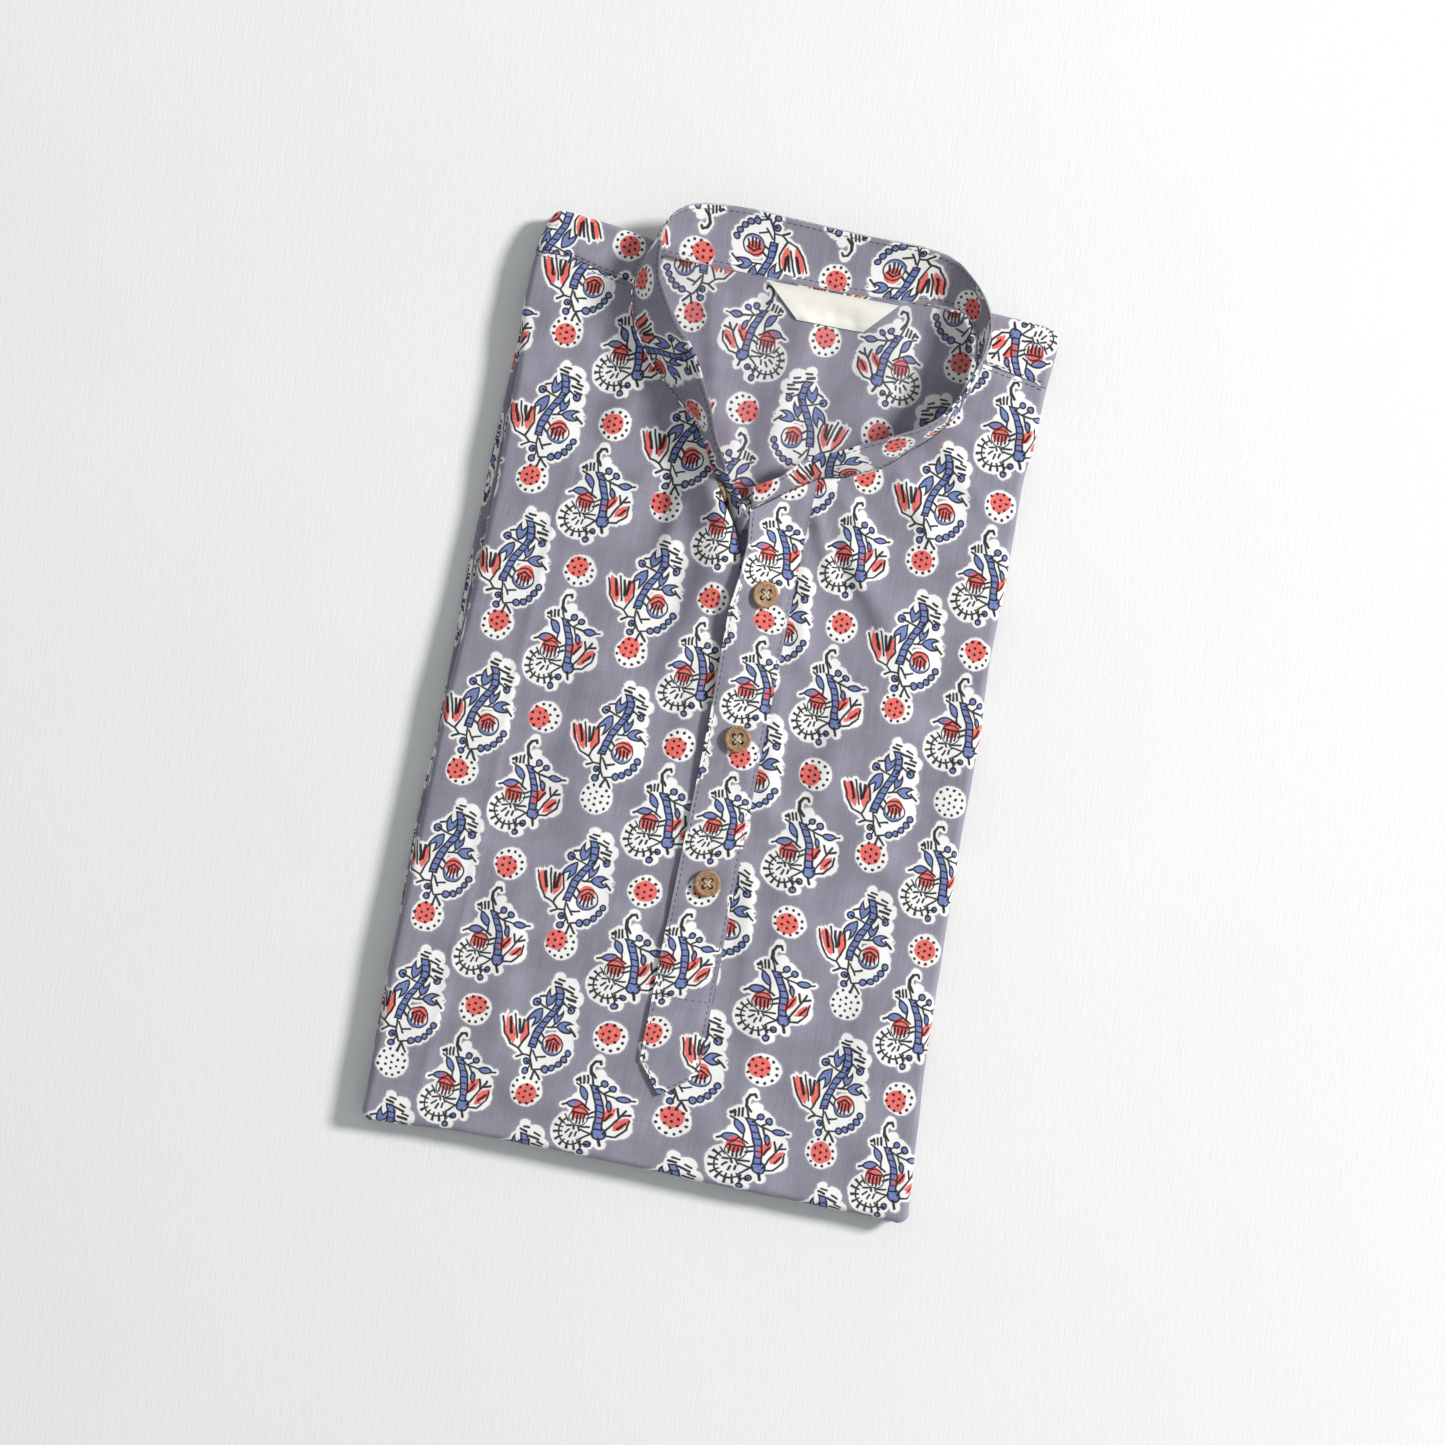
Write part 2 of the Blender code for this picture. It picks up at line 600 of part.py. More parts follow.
def build_buttons():
    for index, (x, y) in enumerate(BUTTONS):
        place, normal = surface_frame(x, y, placket_height)
        build_button(f"button_{index + 1}", place + normal * (GAP + BUTTON_CLEAR), normal,
                     FIRST_TURN + NEXT_TURN * index)
    fine = curve_through(COLLAR, FINE_STEPS)
    row = fine[round(TOP_BUTTON_ROW * FINE_STEPS)]
    after = fine[round(TOP_BUTTON_ROW * FINE_STEPS) + 1]
    place = collar_point(row, TOP_BUTTON_HEIGHT)
    rise = collar_point(row, 1.0) - collar_point(row, 0.0)
    along = collar_point(after, TOP_BUTTON_HEIGHT) - place
    normal = rise.cross(along).normalized()
    if normal.x > 0:
        normal = -normal
    build_button("button_4", place + normal * (BAND / 2 + GAP + TOP_BUTTON_CLEAR), normal, TOP_BUTTON_TURN)


def build_label():
    loop = resample(list(LABEL) + [LABEL[0]], LABEL_STEP)[:-1]
    flat_panel("label", loop, label_height, LABEL_WALL, LABEL_STEP, LABEL_WHITE)


def centre_on_origin():
    """Move everything so that the middle of its footprint is at the origin."""
    bpy.context.view_layer.update()
    graph = bpy.context.evaluated_depsgraph_get()
    corners = []
    for item in bpy.data.objects:
        shape = item.evaluated_get(graph)
        corners += [shape.matrix_world @ vertex.co for vertex in shape.data.vertices]
    low = [min(corner[axis] for corner in corners) for axis in range(2)]
    high = [max(corner[axis] for corner in corners) for axis in range(2)]
    shift = Vector((-(low[0] + high[0]) / 2, -(low[1] + high[1]) / 2, 0))
    for item in bpy.data.objects:
        item.location += shift


def main():
    for item in list(bpy.data.objects):
        bpy.data.objects.remove(item)
    build_layers()
    build_back()
    build_front()
    build_yokes()
    build_underlap()
    build_placket()
    build_collar()
    build_buttons()
    build_label()
    centre_on_origin()


main()
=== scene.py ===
"""Looks of the folded kurta: printed cotton shells, buttons, sewing, floor, light and camera."""
import math

import bmesh
import bpy
import numpy as np
from mathutils import Matrix, Vector, geometry, noise


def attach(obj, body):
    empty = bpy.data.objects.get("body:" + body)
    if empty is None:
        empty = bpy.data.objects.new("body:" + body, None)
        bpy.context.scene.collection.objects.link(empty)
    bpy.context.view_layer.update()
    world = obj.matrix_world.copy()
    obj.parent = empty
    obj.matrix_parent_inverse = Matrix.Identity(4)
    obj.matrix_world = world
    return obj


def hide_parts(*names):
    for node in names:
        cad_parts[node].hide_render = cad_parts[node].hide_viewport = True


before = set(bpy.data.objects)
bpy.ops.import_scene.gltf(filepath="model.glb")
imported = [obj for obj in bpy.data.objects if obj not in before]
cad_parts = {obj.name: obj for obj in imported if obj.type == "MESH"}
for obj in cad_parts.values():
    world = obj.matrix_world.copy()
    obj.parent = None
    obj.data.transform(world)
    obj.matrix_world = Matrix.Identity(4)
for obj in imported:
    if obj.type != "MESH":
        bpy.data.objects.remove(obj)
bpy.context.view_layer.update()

MM = 0.001
# Middle of the folded outline in the tables' millimetres; it lies at the frame's origin
CENTRE = Vector((2.967, 8.815, 0.0))

# Heights and walls, in millimetres, as in the solids
STACK_TOP = 9.0
CLOTH = 1.2
BAND = 1.4
GAP = 0.3
BACK_TOP = STACK_TOP + GAP + CLOTH
FRONT_TOP = BACK_TOP + GAP + CLOTH
ROLL = 3.3
ROLL_END = 165.0
CORNER = 1.5
NECK_GAP = 0.9
THIN = 0.55              # wall of the visible single cloth
DOUBLE = 0.95            # wall of the visible band and placket

# Fineness of the visible meshes
EDGE_STEP = 2.4
FACE_STEP = 2.4
ROLL_STEPS = 14
CORNER_STEPS = 6

# The folded edges seen from above: y then x
FRONT_LEFT = ((-205.5, -120.3), (-99, -119.8), (-57, -118.9), (-17, -118.2), (30, -115.7), (77, -114.0),
              (136, -114.2), (162, -116.9), (188.8, -116.5), (209.3, -111.5))
LAYERS_LEFT = ((-205.5, -120.6), (-155, -122.0), (-115, -121.2), (-63, -121.9), (-30, -119.9), (32, -120.2),
               (83, -119.7), (146, -117.4), (188.8, -116.2), (209.3, -111.0))
RIGHT = ((-206.4, 127.7), (-141.5, 122.9), (-70, 120.4), (-23, 119.2), (15, 118.9), (48, 117.1), (87, 117.3),
         (129, 116.5), (143, 118.6), (171.1, 119.1), (197.2, 120.9))
# x then y
BOTTOM = ((-120.3, -205.5), (-76, -203.0), (-35, -203.2), (6, -204.0), (52, -205.3), (127.7, -206.4))
TOP = ((-111.5, 209.3), (-83.4, 206.7), (-66, 203.9), (-56, 200.8), (80, 200.4), (109.1, 198.7), (120.9, 197.2))
YOKE_SEAM_LEFT = ((-99.9, 189.1), (-85.2, 185.3), (-71.3, 182.9))
YOKE_SEAM_RIGHT = ((88.0, 176.9), (90.8, 176.4), (113.4, 172.7))

# Collar band, from its left end round the back to its right end
# base x, y, z then top edge x, y, z
COLLAR = (
    (-3.0, 81.0, 12.7, -0.8, 89.3, 19.5),
    (-12.0, 94.0, 12.7, -6.4, 97.7, 24.0),
    (-20.2, 106.5, 12.8, -13.2, 106.0, 27.0),
    (-28.7, 124.6, 12.9, -20.6, 119.5, 29.5),
    (-40.0, 135.0, 12.9, -27.6, 136.0, 31.0),
    (-54.0, 148.0, 12.9, -37.0, 154.5, 31.5),
    (-65.5, 164.0, 12.9, -48.6, 168.5, 31.5),
    (-70.0, 180.0, 12.8, -57.3, 182.5, 31.0),
    (-68.6, 191.5, 12.7, -60.6, 196.5, 28.0),
    (-62.5, 197.5, 12.6, -60.4, 210.0, 22.0),
    (-52.0, 197.2, 12.5, -52.5, 220.3, 18.0),
    (-27.0, 196.6, 12.4, -30.0, 224.1, 15.5),
    (0.0, 196.2, 12.4, -1.0, 223.2, 15.0),
    (27.0, 196.4, 12.4, 28.0, 222.0, 15.0),
    (50.0, 197.4, 12.5, 54.0, 221.5, 16.5),
    (66.0, 199.0, 12.6, 69.0, 217.6, 19.5),
    (77.5, 196.8, 12.7, 81.2, 207.0, 24.5),
    (84.6, 187.0, 12.8, 88.0, 194.5, 28.5),
    (86.4, 175.0, 12.9, 88.2, 180.5, 30.5),
    (84.4, 162.0, 12.9, 84.2, 166.0, 31.5),
    (80.0, 150.4, 12.9, 77.6, 152.0, 31.5),
    (72.5, 140.6, 12.9, 68.6, 142.8, 30.5),
    (62.6, 131.6, 12.9, 57.0, 136.6, 29.0),
    (52.6, 122.8, 13.0, 45.0, 130.6, 27.5),
    (39.4, 116.4, 13.4, 33.0, 124.6, 26.0),
    (26.6, 113.0, 14.4, 21.6, 120.4, 24.5),
    (13.4, 104.2, 15.2, 10.8, 109.8, 23.5),
    (3.4, 96.4, 15.9, 3.0, 105.0, 22.6),
    (-0.4, 93.6, 16.2, -0.8, 102.6, 21.6),
)
COLLAR_COLUMNS = 17
COLLAR_STEPS = 8
NECK_LEFT = (3, 7)
NECK_RIGHT = (19, 25)

PLACKET_LEFT = ((94, -0.6), (78, 1.2), (62, 0.4), (48, -1.6), (30, -1.4), (0, -0.9), (-120, -2.8), (-155.9, -2.9))
PLACKET_RIGHT = ((112, 26.4), (60, 25.4), (0, 24.8), (-158.5, 23.8))
PLACKET_TIP = (8.2, -170.3)
PLACKET_CROSS = -127.0
SLIT_LEFT = 1.5
SLIT_RIGHT = 24.2
SLIT_END = -126.0
SLIT_MOUTH = ((-20.6, 108.6), (-17.2, 102.0), (-12.6, 93.9), (-6.0, 84.4), (-0.9, 72.0), (0.9, 56.0),
              (SLIT_LEFT, 44.0))
UNDERLAP_MOUTH = ((23.9, 20.0), (21.0, 44.0), (12.0, 62.0), (1.0, 75.0), (-4.2, 80.0), (-13.4, 93.4),
                  (-21.0, 104.6), (-23.4, 98.0), (-15.5, 80.0), (-3.0, 60.0), (1.8, 51.0))
LABEL = ((-11.5, 194.7), (4.1, 180.2), (34.0, 180.4), (47.5, 194.7))

# Soft ridges of the front: start x, y, end x, y, width, height
RIDGES = (
    (-24, 104, -6, 64, 12, 5.0),
    (-21, 103, -10, 86, 6.5, 8.0),
    (-38, 126, -64, 158, 8, 1.0),
    (32, 100, 54, 66, 6, 1.6),
    (66, 128, 84, 88, 7, 1.3),
    (96, 160, 84, 116, 8, 1.0),
    (-102, 158, -86, 106, 8, 0.9),
    (-50, 60, -58, -30, 16, 0.6),
    (70, 20, 86, -120, 20, 0.7),
    (-20, -60, -24, -180, 18, 0.6),
)
# Finer creases of the visible cloth, the same columns; negative heights are troughs
CREASE_DEPTH = 2.0
CREASES = (
    (-82, 106, -89, 11, 0.9, 0.5),
    (-89, 11, -91, -88, 0.9, 0.5),
    (-91, -88, -97, -200, 0.9, 0.5),
    (-30, 118, -52, 96, 3.2, 0.7),
    (-36, 112, -44, 70, 4.5, -1.2),
    (-31, 100, -34, 62, 3.4, 0.9),
    (-13, 62, -24, 12, 4.5, 0.8),
    (-22, 70, -36, 10, 5.0, -0.9),
    (-62, 150, -70, 96, 5.0, 0.8),
    (-66, 40, -74, -50, 6.0, -0.8),
    (-40, -20, -52, -110, 6.5, 0.8),
    (-72, -90, -66, -170, 6.0, 0.7),
    (-46, 140, -72, 118, 3.6, 0.6),
    (-74, 176, -88, 150, 4.0, 0.8),
    (-78, 160, -100, 146, 4.4, -0.6),
    (28, 96, 40, 70, 2.4, 0.8),
    (36, 108, 62, 84, 2.6, 0.7),
    (34, 92, 58, 48, 4.2, -1.3),
    (30, 96, 48, 60, 2.2, 0.8),
    (44, 84, 76, 44, 4.6, 0.9),
    (46, 40, 40, -30, 5.0, -0.9),
    (58, 10, 50, -70, 5.5, 0.8),
    (96, 60, 100, -30, 5.5, -0.7),
    (84, -60, 74, -150, 6.0, -0.8),
    (52, -90, 44, -170, 5.5, 0.7),
    (28, 74, 36, 30, 2.8, 0.6),
    (60, 122, 80, 98, 3.0, 0.6),
    (76, 138, 104, 112, 3.8, 0.7),
    (84, 150, 108, 146, 3.2, -0.6),
    (27, 20, 33, -40, 2.6, 0.5),
    (29, -60, 37, -118, 3.0, 0.5),
    (-6, 30, -14, -24, 3.4, 0.5),
    (-8, -50, -12, -120, 3.6, -0.45),
    (20, -176, 60, -192, 5.0, 0.6),
    (-60, -176, -20, -192, 5.0, 0.5),
    (94, -120, 106, -190, 5.0, 0.5),
)
BACK_CREASES = (
    (-34, 186, -24, 132, 3.2, 0.9),
    (-14, 190, -8, 120, 3.0, -0.8),
    (8, 178, 2, 110, 4.0, 0.9),
    (30, 178, 18, 126, 3.4, -0.7),
    (52, 186, 40, 140, 4.2, 0.8),
    (66, 184, 62, 150, 3.4, -0.7),
)

# Print lattice in millimetres
COLUMN_PITCH = 61.0
ROW_PITCH = 66.8


def smoothstep(value):
    value = min(max(value, 0.0), 1.0)
    return value * value * (3.0 - 2.0 * value)


def table_value(table, key):
    rows = sorted(table)
    return float(np.interp(key, [row[0] for row in rows], [row[1] for row in rows]))


def ridge_height(x, y, ridge):
    x0, y0, x1, y1, width, height = ridge
    run_x, run_y = x1 - x0, y1 - y0
    share = ((x - x0) * run_x + (y - y0) * run_y) / (run_x * run_x + run_y * run_y)
    end_fade = 1.0
    if width < 8.0:
        end_fade = smoothstep((share + 0.25) / 0.4) * smoothstep((1.25 - share) / 0.4)
        if width < 1.0:
            end_fade = 1.0 if 0.0 <= share <= 1.0 else 0.0
    share = min(max(share, 0.0), 1.0)
    distance = math.hypot(x - x0 - run_x * share, y - y0 - run_y * share)
    if distance > 4 * width:
        return 0.0
    return height * end_fade * math.exp(-0.5 * (distance / width) ** 2)


def waves(x, y, size, seed):
    """Smooth noise between about -1 and 1, with features of a given size in millimetres."""
    return noise.noise(Vector((x / size, y / size, seed))) * 1.6


def line_distance(x, y, points):
    best = 1e9
    for (x0, y0), (x1, y1) in zip(points[:-1], points[1:]):
        run_x, run_y = x1 - x0, y1 - y0
        share = ((x - x0) * run_x + (y - y0) * run_y) / (run_x * run_x + run_y * run_y)
        share = min(max(share, 0.0), 1.0)
        best = min(best, math.hypot(x - x0 - run_x * share, y - y0 - run_y * share))
    return best


SEAMS = (((-116.5, 188.8),) + YOKE_SEAM_LEFT, YOKE_SEAM_RIGHT + ((119.1, 171.1),))


def seam_height(x, y):
    """A groove at each yoke seam, and the ridge of its seam allowance above it."""
    if y < 150.0:
        return 0.0
    near = min(line_distance(x, y, seam) for seam in SEAMS)
    pucker = 0.16 * waves(x * 1.0, y * 0.3, 4.5, 7.3) * math.exp(-near / 5.0)
    return pucker - 0.55 * math.exp(-(near / 0.9) ** 2) + 0.25 * math.exp(-((near - 3.5) / 2.5) ** 2)


def placket_pucker(x, y):
    """Small ripples where the cloth is sewn to the placket."""
    if y > 112.0 or y < -176.0:
        return 0.0
    near = min(abs(x - table_value(PLACKET_RIGHT, y)), abs(x - table_value(PLACKET_LEFT, y)) + 2.0)
    return 0.30 * waves(x * 0.25, y, 7.0, 3.1) * math.exp(-near / 7.0)


def above_floor(relief, floor):
    """Relief whose troughs flatten out before they reach the layer below."""
    if relief >= 0.0:
        return relief
    return floor * (math.exp(relief / floor) - 1.0)


def front_height(x, y):
    """Outer face of the front and yokes."""
    relief = sum(ridge_height(x, y, ridge) for ridge in RIDGES)
    relief += sum(ridge_height(x, y, crease) for crease in CREASES) * CREASE_DEPTH
    relief += 0.6 * waves(x, y * 0.8, 34.0, 0.0) + 0.3 * waves(x, y * 0.6, 13.0, 5.0)
    relief += 0.07 * waves(x, y * 0.5, 5.0, 9.0)
    relief += seam_height(x, y) + placket_pucker(x, y)
    return FRONT_TOP + above_floor(relief, 0.75)


def back_height(x, y):
    """Inner face of the back, that rises to the collar's seam."""
    beside = smoothstep((66.0 - abs(x - 8.0)) / 14.0)
    z = BACK_TOP + 1.2 * beside * smoothstep((y - 184.0) / 10.0) + 0.7 * beside * smoothstep((y - 193.0) / 3.0)
    inside_neck = smoothstep((y - 96.0) / 14.0) * smoothstep((192.0 - y) / 8.0)
    inside_neck *= smoothstep((x + 62.0) / 16.0) * smoothstep((82.0 - x) / 16.0)
    wrinkles = sum(ridge_height(x, y, crease) for crease in BACK_CREASES)
    wrinkles += 0.4 * waves(x, y * 0.6, 17.0, 2.0) + 0.12 * waves(x, y, 6.0, 4.0)
    return z + inside_neck * min(max(2.0 * wrinkles, -0.7), 1.4)


def placket_height(x, y):
    """Outer face of the placket: raised at its edges' folds, low at its right seam."""
    left = table_value(PLACKET_LEFT, y)
    right = table_value(PLACKET_RIGHT, y)
    across = (x - left) / (right - left)
    rise = GAP + BAND - 0.75 * smoothstep((across - 0.82) / 0.18)
    rise += 2.6 * smoothstep((y + 60.0) / 110.0) * smoothstep((0.7 - across) / 0.7)
    edge = min(x - left, right - x)
    stitch = -0.22 * math.exp(-((edge - 1.6) / 0.8) ** 2)
    cross = -0.25 * math.exp(-((y - PLACKET_CROSS - 0.05 * x) / 0.9) ** 2)
    point = -0.2 * math.exp(-((y + 157.5) / 5.0) ** 2)
    z = FRONT_TOP + sum(ridge_height(x, y, ridge) for ridge in RIDGES)
    z += 0.6 * waves(x, y * 0.8, 34.0, 0.0) + 0.2 * waves(x, y, 9.0, 12.0)
    return z + rise + stitch + cross + point


def underlap_height(x, y):
    return FRONT_TOP - 0.6 + 0.2 * waves(x, y, 12.0, 15.0)


def label_height(x, y):
    """Face of the label, with its fold at the lower edge turned down."""
    fold = 0.5 * smoothstep((181.4 - y) / 1.2)
    return back_height(x, y) + 1.1 + 0.12 * waves(x, y, 14.0, 21.0) - fold


def resample(points, step):
    """Points along a polyline, evenly spaced in each of its spans."""
    result = []
    for start, end in zip(points[:-1], points[1:]):
        count = max(1, round(math.dist(start, end) / step))
        for index in range(count):
            share = index / count
            result.append(tuple(a + (b - a) * share for a, b in zip(start, end)))
    result.append(tuple(points[-1]))
    return result


def curve_through(rows, steps):
    """Smooth curve through rows of numbers, with a number of steps in each span."""
    rows = [np.array(row, dtype=float) for row in rows]
    padded = [2 * rows[0] - rows[1]] + rows + [2 * rows[-1] - rows[-2]]
    result = []
    for index in range(1, len(padded) - 2):
        before, start, end, after = padded[index - 1:index + 3]
        for step in range(steps):
            t = step / steps
            result.append(0.5 * (2 * start + (end - before) * t
                                 + (2 * before - 5 * start + 4 * end - after) * t ** 2
                                 + (3 * start - before - 3 * end + after) * t ** 3))
    result.append(rows[-1])
    return result


def side_run(side, left_table, start, end):
    """Points along one side of the folded outline, each with its outward normal."""
    table = {"left": left_table, "right": RIGHT, "bottom": BOTTOM, "top": TOP}[side]
    outward = {"left": -1.0, "right": 1.0, "bottom": -1.0, "top": 1.0}[side]
    count = max(2, round(abs(end - start) / EDGE_STEP))
    reach = 5.0
    result = []
    for index in range(count + 1):
        key = start + (end - start) * index / count
        value = sum(table_value(table, key + offset) for offset in (-3.0, 0.0, 3.0)) / 3.0
        slope = (table_value(table, key + reach) - table_value(table, key - reach)) / (2 * reach)
        if side in ("left", "right"):
            point, normal = Vector((value, key)), Vector((1.0, -slope))
        else:
            point, normal = Vector((key, value)), Vector((-slope, 1.0))
        result.append((point, normal.normalized() * outward))
    return result


def joined_run(runs, closed):
    """One run of points on the flat face, ROLL inside the outline, with their outward normals."""
    count = len(runs)
    result = []
    for index, run in enumerate(runs):
        corners = []
        if closed or index > 0:
            corners.append(run[0][0])
        if closed or index < count - 1:
            corners.append(run[-1][0])
        for point, normal in run:
            if all((point - corner).length > ROLL + CORNER + 1.0 for corner in corners):
                result.append((point - normal * ROLL, normal))
        if not closed and index == count - 1:
            continue
        normal_in = run[-1][1]
        normal_out = runs[(index + 1) % count][0][1]
        centre = run[-1][0] - (normal_in + normal_out) * (ROLL + CORNER)
        for step in range(CORNER_STEPS + 1):
            direction = normal_in.lerp(normal_out, step / CORNER_STEPS).normalized()
            result.append((centre + direction * CORNER, direction))
    return result


def closed_outline(left_table, inset):
    left = side_run("left", left_table, 209.3, -205.5)
    bottom = side_run("bottom", left_table, -120.3, 127.7)
    right = side_run("right", left_table, -206.4, 197.2)
    top = side_run("top", left_table, 120.9, -111.5)
    run = joined_run((left, bottom, right, top), closed=True)
    return [(point + normal * (ROLL - inset), normal) for point, normal in run]


def shifted(points, dy):
    return [(x, y + dy) for x, y in points]


def neckline(first, last):
    """Neckline points beside the collar's base, from one collar row to another."""
    steps = 4
    base = [Vector(row[:2]) for row in curve_through(COLLAR, steps)]
    result = []
    for index in range(first * steps, last * steps + 1):
        tangent = (base[index + 1] - base[index - 1]).normalized()
        result.append(tuple(base[index] + Vector((-tangent.y, tangent.x)) * NECK_GAP))
    return result


def filled_points(loop, step):
    """Corners, faces and loop places of a face filled with even points."""
    outline = np.array([point[:2] for point in loop])
    low, high = outline.min(axis=0), outline.max(axis=0)
    rows = np.arange(low[1] + step * 0.5, high[1], step * 0.87)
    grid = []
    for index, y in enumerate(rows):
        xs = np.arange(low[0] + step * (0.25 + 0.5 * (index % 2)), high[0], step)
        grid.append(np.column_stack([xs, np.full(len(xs), y)]))
    grid = np.concatenate(grid)
    odd = np.zeros(len(grid), dtype=bool)
    nearest = np.full(len(grid), 1e9)
    for start, end in zip(outline, np.roll(outline, -1, axis=0)):
        if start[1] != end[1]:
            crosses = (start[1] > grid[:, 1]) != (end[1] > grid[:, 1])
            at = start[0] + (end[0] - start[0]) * (grid[:, 1] - start[1]) / (end[1] - start[1])
            odd ^= crosses & (grid[:, 0] < at)
        run = end - start
        share = np.clip(((grid - start) @ run) / max(run @ run, 1e-9), 0.0, 1.0)
        near = start + share[:, None] * run
        nearest = np.minimum(nearest, np.hypot(*(grid - near).T))
    inner = grid[odd & (nearest > step * 0.45)]
    points = [Vector(point) for point in outline] + [Vector(point) for point in inner]
    places = list(range(len(outline)))
    corners, _, faces, originals, _, _ = geometry.delaunay_2d_cdt(points, [], [places], 1, 1e-5)
    place = {source: index for index, sources in enumerate(originals) for source in sources}
    return corners, [tuple(face) for face in faces], [place[index] for index in places]


def normals_of(vertices, faces):
    """Vertex normals, weighted by area."""
    result = np.zeros_like(vertices)
    for size in (3, 4):
        some = np.array([face for face in faces if len(face) == size])
        if not len(some):
            continue
        across = vertices[some[:, size // 2]] - vertices[some[:, 0]]
        along = vertices[some[:, -1]] - vertices[some[:, 1]]
        if size == 3:
            across = vertices[some[:, 1]] - vertices[some[:, 0]]
            along = vertices[some[:, 2]] - vertices[some[:, 0]]
        normal = np.cross(across, along)
        for column in range(size):
            np.add.at(result, some[:, column], normal)
    length = np.linalg.norm(result, axis=1)
    return result / np.maximum(length, 1e-12)[:, None]


def new_object(name, vertices, faces, material, cloth=None, bake=None, face_cloth=None, face_bake=None):
    """Mesh object in metres from millimetre vertices, with its cloth and bake coordinates."""
    data = bpy.data.meshes.new(name)
    placed = (np.asarray(vertices, dtype=float) - np.array(CENTRE)) * MM
    data.from_pydata([tuple(v) for v in placed], [], faces)
    corner = np.zeros(len(data.loops), dtype=np.int64)
    data.loops.foreach_get("vertex_index", corner)
    for layer, values in (("cloth", cloth), ("OFBake", bake)):
        if values is None:
            continue
        uv = data.uv_layers.new(name=layer)
        uv.data.foreach_set("uv", np.asarray(values, dtype=np.float32)[corner].ravel())
    data.polygons.foreach_set("use_smooth", np.ones(len(data.polygons), dtype=bool))
    data.set_sharp_from_angle(angle=math.radians(52))
    data.materials.append(material)
    result = bpy.data.objects.new(name, data)
    bpy.context.scene.collection.objects.link(result)
    return result


def shell(name, outer, faces, cloth, wall, material):
    """Thin closed cloth from its outer face. The hidden side gets a strip of the bake map."""
    outer = np.asarray(outer, dtype=float)
    if sum(normals_of(outer, faces)[:, 2]) < 0:
        faces = [face[::-1] for face in faces]
    count = len(outer)
    inner = outer - normals_of(outer, faces) * wall
    edges = {}
    for face in faces:
        for start, end in zip(face, face[1:] + face[:1]):
            edges[(start, end)] = (start, end)
    rim = [edge for edge in edges if (edge[1], edge[0]) not in edges]
    cloth = np.asarray(cloth, dtype=float)
    low, high = cloth.min(axis=0), cloth.max(axis=0)
    bake = (cloth - low) / (high - low)
    outer_bake = np.column_stack([0.004 + 0.992 * bake[:, 0], 0.004 + 0.94 * bake[:, 1]])
    inner_bake = np.column_stack([0.004 + 0.992 * bake[:, 0], 0.955 + 0.04 * bake[:, 1]])
    # the rim has vertices of its own, so that it takes the colour of the outer edge
    rim_places = sorted({index for edge in rim for index in edge})
    rim_new = {index: 2 * count + place for place, index in enumerate(rim_places)}
    all_vertices = np.concatenate([outer, inner, inner[rim_places]])
    all_cloth = np.concatenate([cloth, cloth, cloth[rim_places]])
    all_bake = np.concatenate([outer_bake, inner_bake, outer_bake[rim_places]])
    all_faces = list(faces) + [tuple(index + count for index in face[::-1]) for face in faces]
    all_faces += [(end, start, rim_new[start], rim_new[end]) for start, end in rim]
    result = new_object(name, all_vertices, all_faces, material, all_cloth, all_bake)
    mesh = bmesh.new()
    mesh.from_mesh(result.data)
    bmesh.ops.remove_doubles(mesh, verts=mesh.verts, dist=1e-7)
    mesh.to_mesh(result.data)
    mesh.free()
    result.data.set_sharp_from_angle(angle=math.radians(52))
    return result


# Cloth coordinates, in the print's own millimetres
def front_print(x, y):
    slant = float(np.interp(x, (-20.0, 60.0), (0.047, -0.02)))
    return x - slant * y + 103.0, y + 0.02 * x + 17.0


def back_print(x, y):
    """The wrong side of the back: the print runs mirrored."""
    return -(x - 18.4), y - 136.0


def yoke_left_print(x, y):
    return -(x + 105.7), -(y - 200.0)


def yoke_right_print(x, y):
    return -(x - 105.5) + 30.5, -(y - 181.7) - 31.5


# Middles of the placket's motifs: y then x
PLACKET_MOTIFS = ((-175.0, -3.4), (-109.0, 5.4), (-44.5, 15.0), (17.3, 18.4), (77.6, 15.9), (137.9, 14.1))


def placket_print(x, y):
    rows = [row[0] for row in PLACKET_MOTIFS]
    step = np.interp(y, rows, range(len(rows))) - 3.0
    return x - table_value(PLACKET_MOTIFS, y) + 30.5, step * ROW_PITCH - 31.5


def underlap_print(x, y):
    return x + 17.0, y - 109.0


def collar_print(along, up, inner):
    """The band is cut with its print upside down on the inner face, upright on the outer."""
    if inner:
        return -(along + 20.5) * 0.96, 5.5 - up
    return -(along - 1.5) * 0.96, up - 9.0


def rolled_panel(name, run, seam, height, print_place, material, wall=THIN):
    """Panel with a flat face, folded round its edge along the run, and cut along the seam."""
    loop = [tuple(point) for point, _ in run] + [tuple(point) for point in seam]
    corners, faces, edge = filled_points(loop, FACE_STEP)
    vertices = [(p.x, p.y, height(p.x, p.y)) for p in corners]
    cloth = [print_place(p.x, p.y) for p in corners]
    previous = edge[:len(run)]
    for step in range(1, ROLL_STEPS + 1):
        angle = math.radians(ROLL_END * step / ROLL_STEPS)
        current = []
        for point, normal in run:
            soft = 1.0 + 0.10 * waves(point.x, point.y, 22.0, 31.0)
            place = point + normal * ROLL * math.sin(angle) * soft
            z = height(point.x, point.y) - ROLL * (1.0 - math.cos(angle))
            current.append(len(vertices))
            vertices.append((place.x, place.y, z))
            unrolled = point + normal * ROLL * angle
            cloth.append(print_place(unrolled.x, unrolled.y))
        for index in range(len(run) - 1):
            faces.append((previous[index], current[index], current[index + 1], previous[index + 1]))
        previous = current
    return shell(name, vertices, faces, cloth, wall, material)


